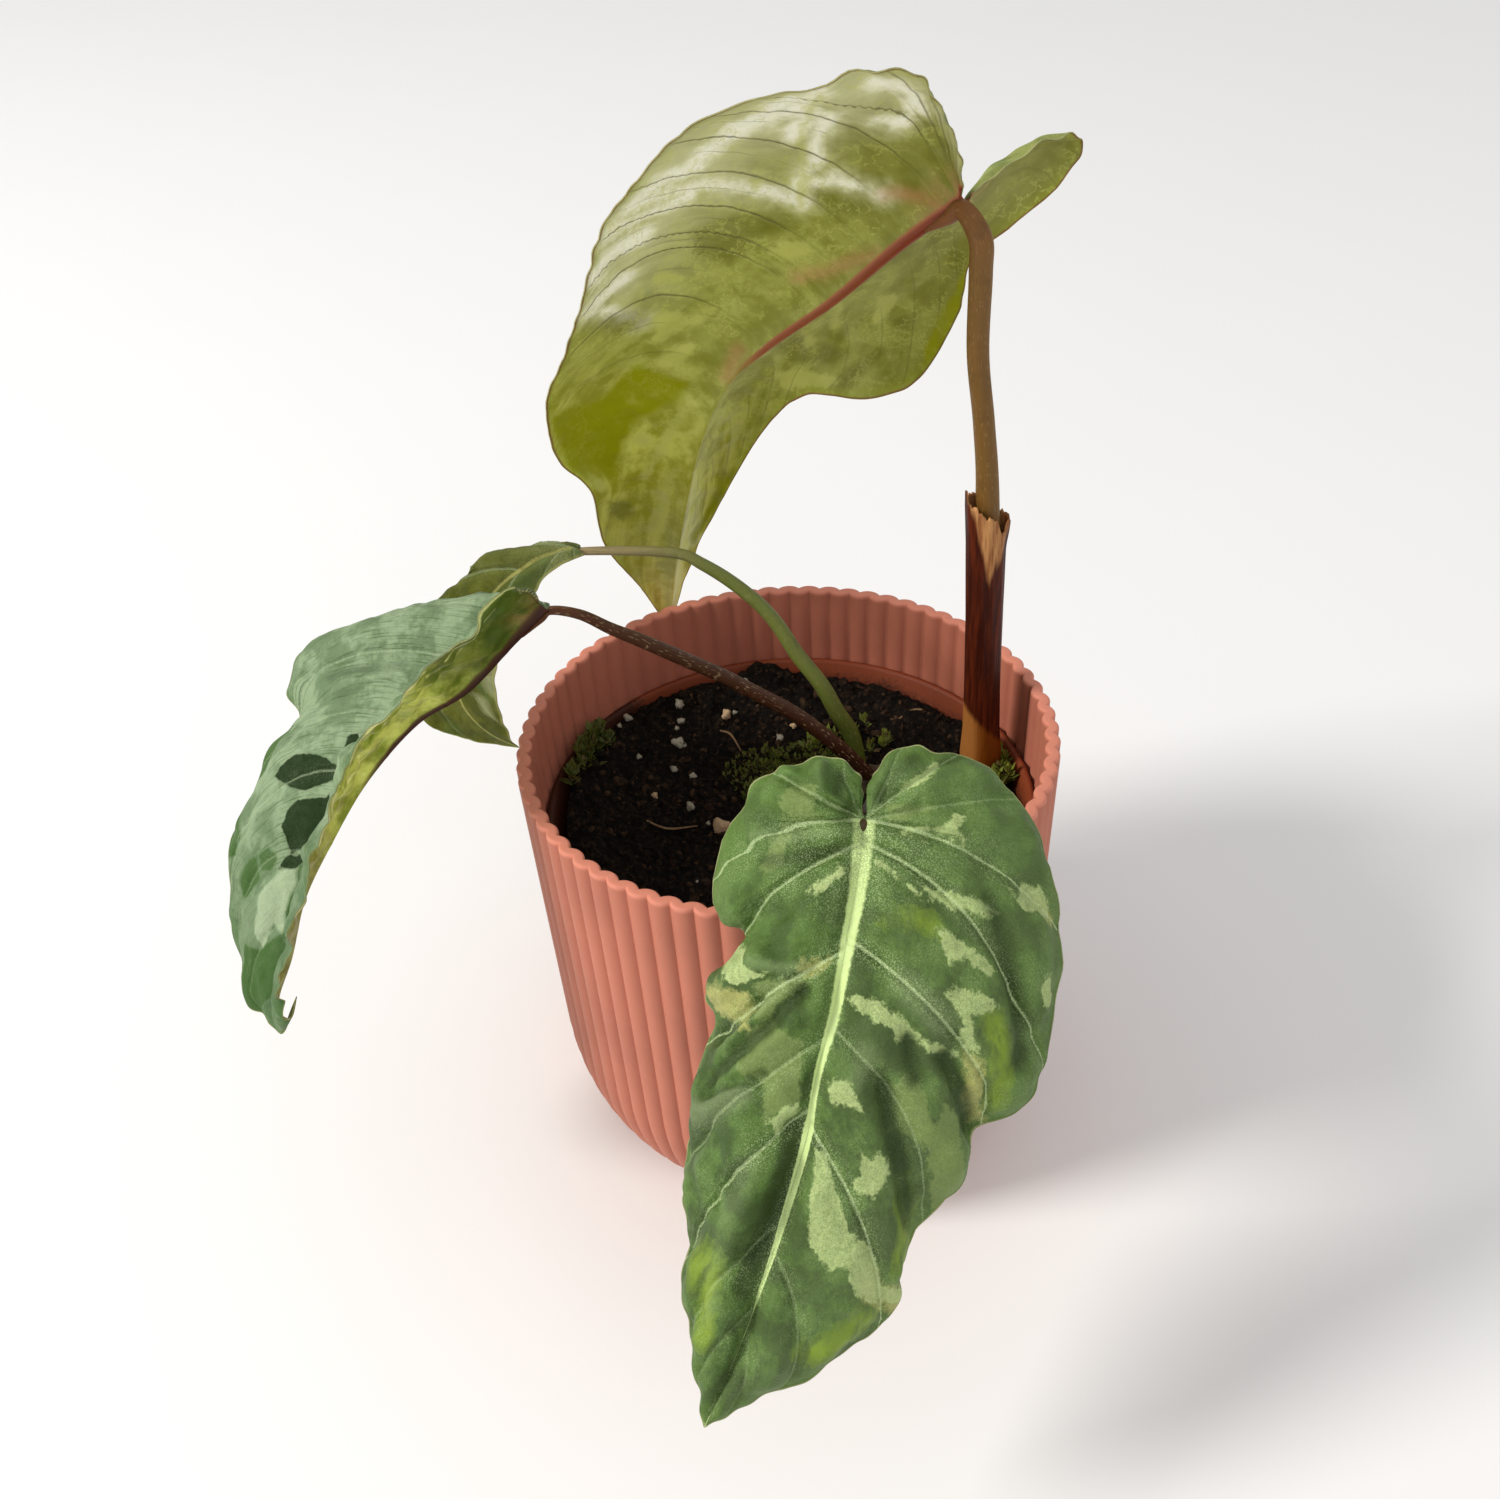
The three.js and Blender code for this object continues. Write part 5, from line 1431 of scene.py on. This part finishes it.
def silk(name, look):
    """The under face: soft greens marbled along the veins that change towards the tip, on the tall leaf to brighter
    greens that are painted light; painted highlights as silky streaks and a paler side, deep yellow-green where
    the blade is thin, hair-fine dark veins, a red rib with a paler flush beside it and a thin red-brown margin."""
    kit = Kit(name)
    number, gap, far, along, edge, across, force, side, fold, streak, marks = leaf_fields(kit)
    line = number.fold(1.0) * gap
    soft, fine, mid = kit.noise(12, 4), kit.noise(1.3, 5, 0.65), kit.noise(5, 5, 0.62)
    jag = (fine - 0.5) * 4 + (streak - 0.5) * 4 + (mid - 0.5) * 3
    base = kit.mix(look["dark"], look["green"], (streak * 0.55 + soft * 0.25 + mid * 0.2).rise(0.38, 0.6))
    # Towards the tip the greens change; on the tall leaf they are brighter there, painted light for its glowing lower
    # part.
    low = kit.mix(look["low_dark"], look["low"], (streak * 0.7 + mid * 0.3).rise(0.4, 0.6))
    base = kit.mix(base, low, along.rise(*look["low_from"]))
    for colour, start, end, share in look["run"]:
        base = kit.mix(base, colour, along.rise(start, end) * share)
    # Painted sheen: paler towards the edge of the left half, above the middle of the blade.
    painted_side_sheen = across.rise(0.3, 0.85) * side.rise(0.3, -0.3) * along.rise(0.5, 0.36) * (0.45 + streak * 0.5)
    base = kit.mix(base, look["bloom"], painted_side_sheen * look["painted_side_sheen"])
    # Painted highlights: the sheen streaks, pale with a bright core.
    sheen = 0 - marks["sheen"] + ((mid - 0.5) * 5 + (streak - 0.5) * 6) * look["haze"]
    base = kit.mix(base, look["bloom"], sheen.rise(-6 * look["haze"], 1.2) * 0.85)
    base = kit.mix(base, look["bright"], sheen.rise(-2.6 * look["haze"] - 0.2, 1.6 * look["haze"] + 0.2))
    depth = (0 - marks["green"] + (soft - 0.5) * 6 + (streak - 0.5) * 4).rise(-1.5, 1.8)
    rim = edge.rise(5, 0) * kit.noise(20, 2).rise(0.4, 0.6) * look["rim"]
    base = kit.mix(base, look["deep"], depth.most(rim))
    base = kit.mix(base, look["shade"], (jag - marks["dark"]).rise(-1.6, 1.8) * 0.6)
    cloud = (jag * 0.8 - marks["pale"]).rise(-1.0, 1.2)
    veil = ((fine + mid * 2).rise(1.58, 1.85) * 0.35).least(1 - along.rise(0.35, 0.1))
    net = (mid * 4 + (fine - 0.5) * 0.7).fold(1.0).rise(0.12, 0.02) * soft.rise(0.42, 0.58) * look["net"]
    base = kit.mix(base, look["patch"], veil.most(cloud * 0.7).most(net) * (1 - depth * 0.6))
    flush = (0 - marks["straw"] + (fine - 0.5) * 3 + (streak - 0.5) * 4).rise(-3, 2)
    flush = flush.most(far.rise(12, 1) * along.rise(0.12, 0.0) * streak.rise(0.3, 0.6))
    base = kit.mix(base, look["flush"], flush * 0.55)
    hair = (line + (fine - 0.5) * 0.25).rise(0.4, 0.08) * force * across.rise(0.15, 0.45) * edge.rise(0.0, 2.5)
    second = (number.fold(0.5) * gap).rise(0.26, 0.05) * across.rise(0.35, 0.6) * soft.rise(0.42, 0.55) * 0.5
    base = kit.mix(base, look["hair"], hair.most(second) * (1 - depth) * look["lines"])
    girth = look["rib_width"] * (1.0 - along * look["taper"]).most(0.16)
    rib = (far / girth).rise(1.25, 0.8) * along.rise(look["rib_end"] + 0.05, look["rib_end"] - 0.06)
    base = kit.mix(base, look["rib"], rib * 0.95)
    core = (far / girth).rise(0.95, 0.45) * rib * (1 - along * look["pale_rib"])
    base = kit.mix(base, look["rib_dark"], core)
    base = kit.mix(base, look["margin"], edge.rise(0.8, 0.25) * 0.85)
    puff = kit.bump(line.rise(0.0, 0.7) * force, 0.12, kit.bump(fine, 0.1))
    return kit.finish(base, look["rough"] + fine * 0.1, puff, Subsurface_Weight=0.2,
                      Subsurface_Radius=(0.8, 1.0, 0.25), Subsurface_Scale=0.0015, Specular_IOR_Level=look["gloss"])


class PLANT_OT_leaves(bpy.types.Operator):
    """Make the four blades"""

    bl_idname = "plant.leaves"
    bl_label = "Leaves"

    def execute(self, context):
        leaf = context.scene.plant.leaf
        green, pale, red = (tuple(c) for c in (leaf.green, leaf.pale, leaf.rib))
        warm = [c * w for c, w in zip(green, (1.28, 1.2, 0.85))]
        front = {
            **shades(edge="56742a", vein="bccf98", rib="d6eba0", margin="b5b080"),
            "dark": [c * 0.58 for c in warm], "green": [c * 1.12 for c in warm], "thread": [c * 0.6 for c in warm],
            "run": [([c * 1.5 for c in warm], 0.3, -0.1, 0.3)],
            "marks": {
                "green": (linear("829a2c"), -1.6, 1.8, 0.75, 0.85),
                "sage": (linear("7f9152"), -0.3, 0.4, 0.65, 0.3),
                "straw": (linear("b5b36a"), -0.4, 0.8, 0.75, 0.4),
                "pale": (pale, 0.0, 0.4, 0.92, 0.5),
                # The dark marking is painted shade over the raised fold left of the midrib.
                "dark": ([c * 0.42 for c in warm], -0.6, 0.6, 0.75, 0.1),
            },
            "rag": 0.95, "threads": 0.25, "bloom": 0.06, "painted_glints": 1.0, "line": 0.8, "rib_width": 2.2,
            "rib_share": 0.95, "gloss": 0.22,
        }
        plain = {**front, **shades(dark="6a7330", green="8b9148", edge="8b9148"), "run": [], "marks": {}}
        left = {
            **front,
            **shades(dark="6d8260", green="8fa27f", thread="41582f", edge="4d6e34", vein="a9b994", rib="9c9a58",
                     margin="8c8a52"),
            "run": [(linear("43603a"), 0.42, 0.75, 0.6)],
            "marks": {
                "green": (linear("2f5410"), -0.4, 0.6, 0.8, 0.2),
                "pale": (linear("a9b996"), -0.2, 0.5, 0.65, 0.2),
                "dark": (linear("142a08"), -0.1, 0.2, 1.0, 0.1),
            },
            "rag": 0.3, "threads": 0.6, "bloom": 0.0, "painted_glints": 0.4, "line": 0.5, "gloss": 0.06,
        }
        back = {
            **left, **shades(dark="454b14", green="575b18", thread="333808"), "threads": 0.3,
            "run": [(linear("6c7145"), 0.3, -0.1, 0.6)],
            "marks": {
                "pale": (linear("8c9068"), -1.5, 1.5, 0.8, 0.3),
                "dark": (linear("333f12"), -1.0, 1.0, 0.7, 0.3),
            },
        }
        # The sheen's pale and bright colours are painted highlights, and the light lower greens are painted light.
        below = {
            **shades(dark="8b8d34", green="a8ab50", low_dark="a2a228", low="cfd060", bloom="dadaa8", bright="ffffe8",
                     deep="979a02", shade="6e6e16", patch="c4c566", hair="5f5c2c", flush="b97c55", rib="ab6340",
                     margin="8a5c3c"),
            "rib_dark": red, "run": [(linear("666218"), 0.3, 0.03, 0.45)], "low_from": (0.42, 0.7), "painted_side_sheen": 0.9,
            "haze": 1.0, "pale_rib": 1.8, "lines": 0.75, "net": 0.5, "rib_width": 2.0, "taper": 1.45,
            "rib_end": 0.44, "rough": 0.38, "gloss": 0.3, "rim": 0.5,
        }
        # Its pale and bright colours are painted highlights along the left leaf's creases.
        lime = {
            **below,
            **shades(dark="4e611a", green="7c8632", low_dark="7f9022", low="ced868", rib="4f3414", rib_dark="3a1508",
                     margin="e6e8a6", bright="f2f7a8", bloom="d0d476", deep="8f9440"),
            "run": [(linear("47601a"), 0.13, 0.05, 0.75), (linear("66652a"), 0.44, 0.58, 0.75)],
            "low_from": (0.14, 0.26), "lines": 0.4, "net": 0.2, "rib_end": 0.4, "taper": 1.3, "rib_width": 2.3,
            "haze": 0.08, "pale_rib": 0.0, "rough": 0.45, "rim": 0.0, "painted_side_sheen": 0.0,
        }
        looks = {"tall": (plain, below), "front": (front, lime), "left": (left, lime), "back": (back, lime)}
        for name, (over, beneath) in looks.items():
            upper = velvet(f"{name}_leaf_upper", over)
            under = silk(f"{name}_leaf_under", beneath)
            make_blade(context, name, upper, under)
        return {"FINISHED"}


def stalk_material(name, low, middle, high, dash, dash_share):
    """A smooth stalk whose colour changes along it, with fine pale dashes along its length."""
    kit = Kit(name)
    run, around, share = kit.field("stalk")
    base = kit.mix(kit.mix(low, middle, share.rise(0.0, 0.35)), high, share.rise(0.55, 1.0))
    cloud = kit.noise(5, 4)
    base = kit.mix(base, [c * 0.55 for c in middle], cloud.rise(0.5, 0.8) * 0.5)
    dashes = kit.flow(run * 0.35, around * 9.0, 0.0, 1.6, 2.0, 0.5)
    base = kit.mix(base, dash, dashes.rise(0.6, 0.68) * dash_share)
    ridges = kit.flow(run * 0.05, around * 30.0, 0.0, 1.0, 2.0, 0.5)
    normal = kit.bump(ridges, 0.25, kit.bump(kit.noise(0.6, 3), 0.04))
    return kit.finish(base, 0.38 + cloud * 0.15, normal, Subsurface_Weight=0.1,
                      Subsurface_Radius=(0.8, 0.6, 0.2), Subsurface_Scale=0.001, Specular_IOR_Level=0.3)


class PLANT_OT_stalks(bpy.types.Operator):
    """Make the four leaf stalks, each run on under its blade"""

    bl_idname = "plant.stalks"
    bl_label = "Stalks"

    def execute(self, context):
        finishes = {
            "tall": ("5e3206", "74521f", "8a5430", "a98c58", 0.3),
            "front": ("2c160a", "32200e", "4a3a1a", "8f7a50", 0.2),
            "left": ("32190a", "4d2c17", "643a20", "b59a76", 0.75),
            "back": ("4a5814", "6f7836", "a3886a", "b7ad80", 0.2),
        }
        for name, (points, radii, away) in STALKS.items():
            grid, _, index, up, *_ = blade_shape(name)
            blade = grid.reshape(-1, 3)
            spine = index[FAN_ROWS:, HALF_COLUMNS]
            under = -unit(up[spine[:12]].mean(0))
            joint, near, far = (blade[spine[i]] for i in (0, 5, 14))
            path = [*points[:-1], joint + under * 1.9, near + under * 1.7, far + under * 1.1]
            widths = [*radii[:-1], radii[-1], radii[-1] * 0.75, 0.5]
            shape, faces, maps = tube(path, widths, 150, 24, away, 0.02)
            *tints, dashes = finishes[name]
            material = stalk_material(f"stalk_{name}", *(linear(tint) for tint in tints), dashes)
            make_piece(f"stalk_{name}", shape, faces, [material], {"stalk": maps}, node=f"petiole_{name}")
        return {"FINISHED"}


class PLANT_OT_sheath(bpy.types.Operator):
    """Make the torn papery sheath round the tall stalk"""

    bl_idname = "plant.sheath"
    bl_label = "Sheath"

    def execute(self, context):
        angle = TURN * np.arange(96) / 96
        torn = 0.5 * np.sin(7 * angle) + 0.35 * np.sin(17 * angle + 1) + 0.25 * np.sin(31 * angle + 2)
        top = SHEATH_TOP - 3.2 * np.sin(angle) + torn + 1.8 * np.exp(-((angle - 1.5 * math.pi) / 0.3) ** 2)
        top = top - 3.0 * np.exp(-((angle - 0.75) / 0.22) ** 2)
        share = np.linspace(0, 1, 90)[:, None]
        height = SHEATH_FOOT + (top[None] - SHEATH_FOOT) * share
        knots = (SHEATH_FOOT, 97, 104, 112, 125, 150, 170, 176, 180)
        radius = np.interp(height, knots, (5.3, 5.55, 5.55, 4.9, 4.7, 4.75, 4.95, 5.15, 5.3))
        radius = radius + 0.9 * ease(share, 0.9, 1) * np.exp(-((angle - 1.6) / 0.5) ** 2)
        radius = radius + 0.12 * np.sin(3 * angle + height / 30) + 0.06 * np.sin(11 * angle + height / 9)
        lean = 52.4 - 0.9 * (height - 90) / 93
        centre = np.stack([lean, 14 + 0 * lean, 0 * lean], -1)
        outer = circle(radius, angle[None], height) + centre
        inner = circle(radius - SHEATH_WALL, angle[None], height) + centre
        grid = np.concatenate([outer, inner[::-1]])
        rows, count = grid.shape[:2]
        index = np.arange(rows * count).reshape(rows, count)
        index = np.vstack([index, index[:1]])
        faces = span(np.hstack([index, index[:, :1]]))
        below = np.broadcast_to(top[None] - height, outer.shape[:2])
        turn = np.broadcast_to(np.sin(angle - 0.1)[None], outer.shape[:2])
        one = np.stack([below, turn, np.zeros_like(below)], -1)
        maps = np.concatenate([one, one[::-1] + (0, 0, 1)]).reshape(-1, 3)
        kit = Kit("papery_sheath")
        drop, across, inside = kit.field("sheath")
        streak = kit.noise(1.6, 5, 0.6, place=kit.stretched(1, 1, 0.08))
        base = kit.mix(linear("330c02"), linear("5e2208"), streak.rise(0.38, 0.72))
        foot = (kit.axis(2) + across * 6).rise(121, 108) + (streak - 0.5) * 0.5
        tan = kit.mix(linear("7a4208"), linear("a56a32"), across.rise(0.0, -0.7))
        base = kit.mix(base, tan, foot.rise(0.35, 0.7) * 0.9)
        tongue = (drop + across.most(across * -1.0) * 20 + (streak - 0.5) * 12).rise(21, 16)
        base = kit.mix(base, kit.mix(linear("8f5a34"), linear("c08c58"), streak.rise(0.4, 0.6)), tongue.most(inside))
        normal = kit.bump(streak, 0.5, kit.bump(kit.noise(0.8, 4, place=kit.stretched(1, 1, 0.2)), 0.15))
        material = kit.finish(base, 0.45 + streak * 0.2, normal, Specular_IOR_Level=0.18)
        make_piece("sheath_torn", grid.reshape(-1, 3), faces, [material], {"sheath": maps}, node="sheath")
        return {"FINISHED"}


class PLANT_OT_stage(bpy.types.Operator):
    """Make the floor, the lights and the camera"""

    bl_idname = "plant.stage"
    bl_label = "Stage"

    def execute(self, context):
        stage = context.scene.plant.stage
        scene = context.scene
        angle = TURN * np.arange(96) / 96
        rings = np.array([circle(FLOOR_RADIUS, angle, z) for z in (FLOOR_UNDERSIDE, FLOOR_TOP)])
        points, faces = ringed(rings, (0, 0, FLOOR_UNDERSIDE), (0, 0, FLOOR_TOP))
        mesh = bpy.data.meshes.new("floor")
        mesh.from_pydata((points * MM).tolist(), [], faces.tolist())
        floor = bpy.data.objects.new("floor", mesh)
        scene.collection.objects.link(floor)
        kit = Kit("pale_floor")
        cloud = kit.noise(90, 2)
        tone = kit.mix(tuple(stage.floor), [c * 0.985 for c in stage.floor], cloud)
        mesh.materials.append(kit.finish(tone, 0.9 + cloud * 0.05, Specular_IOR_Level=0.1))

        for name, place, size, power, colour in (
            ("key", (-2.0, -0.5, 1.7), 0.7, stage.key, (1.0, 0.97, 0.92)),
            ("fill", (0.6, -1.6, 1.6), 1.2, stage.fill, (1.0, 0.98, 0.96)),
        ):
            data = bpy.data.lights.new(name, "AREA")
            data.shape = "DISK"
            data.size = size
            data.energy = power
            data.color = colour
            lamp = bpy.data.objects.new(name, data)
            scene.collection.objects.link(lamp)
            aim = np.array([0, 0, 0.14]) - np.array(place)
            back = -unit(aim)
            across = unit(np.cross((0, 0, 1), back))
            turn = Matrix(np.column_stack([across, np.cross(back, across), back]).tolist()).to_4x4()
            lamp.matrix_world = Matrix.Translation(place) @ turn
        world = bpy.data.worlds.new("room")
        world.use_nodes = True
        sky = world.node_tree.nodes["Background"]
        sky.inputs["Color"].default_value = (1, 1, 1, 1)
        sky.inputs["Strength"].default_value = stage.sky
        scene.world = world

        turn = unit(np.array([CAMERA_RIGHT, CAMERA_UP, CAMERA_BACK]))
        place = np.array(CAMERA_PLACE) * MM
        data = bpy.data.cameras.new("camera")
        data.sensor_width = CAMERA_SENSOR
        data.sensor_fit = "HORIZONTAL"
        data.lens = CAMERA_LENS
        data.clip_start = CAMERA_NEAREST
        camera = bpy.data.objects.new("camera", data)
        scene.collection.objects.link(camera)
        camera.matrix_world = Matrix.Translation(place) @ Matrix(turn.T.tolist()).to_4x4()
        scene.camera = camera
        scene.view_settings.view_transform = "Standard"
        return {"FINISHED"}


OPERATORS = (
    PLANT_OT_cover_pot, PLANT_OT_grow_pot, PLANT_OT_potting_mix, PLANT_OT_creeping_stem, PLANT_OT_moss,
    PLANT_OT_sheath, PLANT_OT_stalks, PLANT_OT_leaves, PLANT_OT_stage,
)


class PLANT_PT_sidebar(bpy.types.Panel):
    """Sizes, colours and one button for each step"""

    bl_idname = "PLANT_PT_sidebar"
    bl_label = "Potted Philodendron"
    bl_space_type = "VIEW_3D"
    bl_region_type = "UI"
    bl_category = "Plant"

    def draw(self, context):
        for group in ("pot", "mix", "leaf", "stage"):
            settings = getattr(context.scene.plant, group)
            box = self.layout.box()
            for name in settings.__annotations__:
                box.prop(settings, name)
        for operator in OPERATORS:
            self.layout.operator(operator.bl_idname)


CLASSES = (PotSettings, MixSettings, LeafSettings, StageSettings, PlantSettings, *OPERATORS, PLANT_PT_sidebar)


def register():
    for cls in CLASSES:
        bpy.utils.register_class(cls)
    bpy.types.Scene.plant = PointerProperty(type=PlantSettings)


def unregister():
    del bpy.types.Scene.plant
    for cls in reversed(CLASSES):
        bpy.utils.unregister_class(cls)


def main():
    register()
    bpy.ops.plant.cover_pot()
    bpy.ops.plant.grow_pot()
    bpy.ops.plant.potting_mix()
    bpy.ops.plant.creeping_stem()
    bpy.ops.plant.moss()
    bpy.ops.plant.sheath()
    bpy.ops.plant.stalks()
    bpy.ops.plant.leaves()
    bpy.ops.plant.stage()


if __name__ == "__main__":
    main()
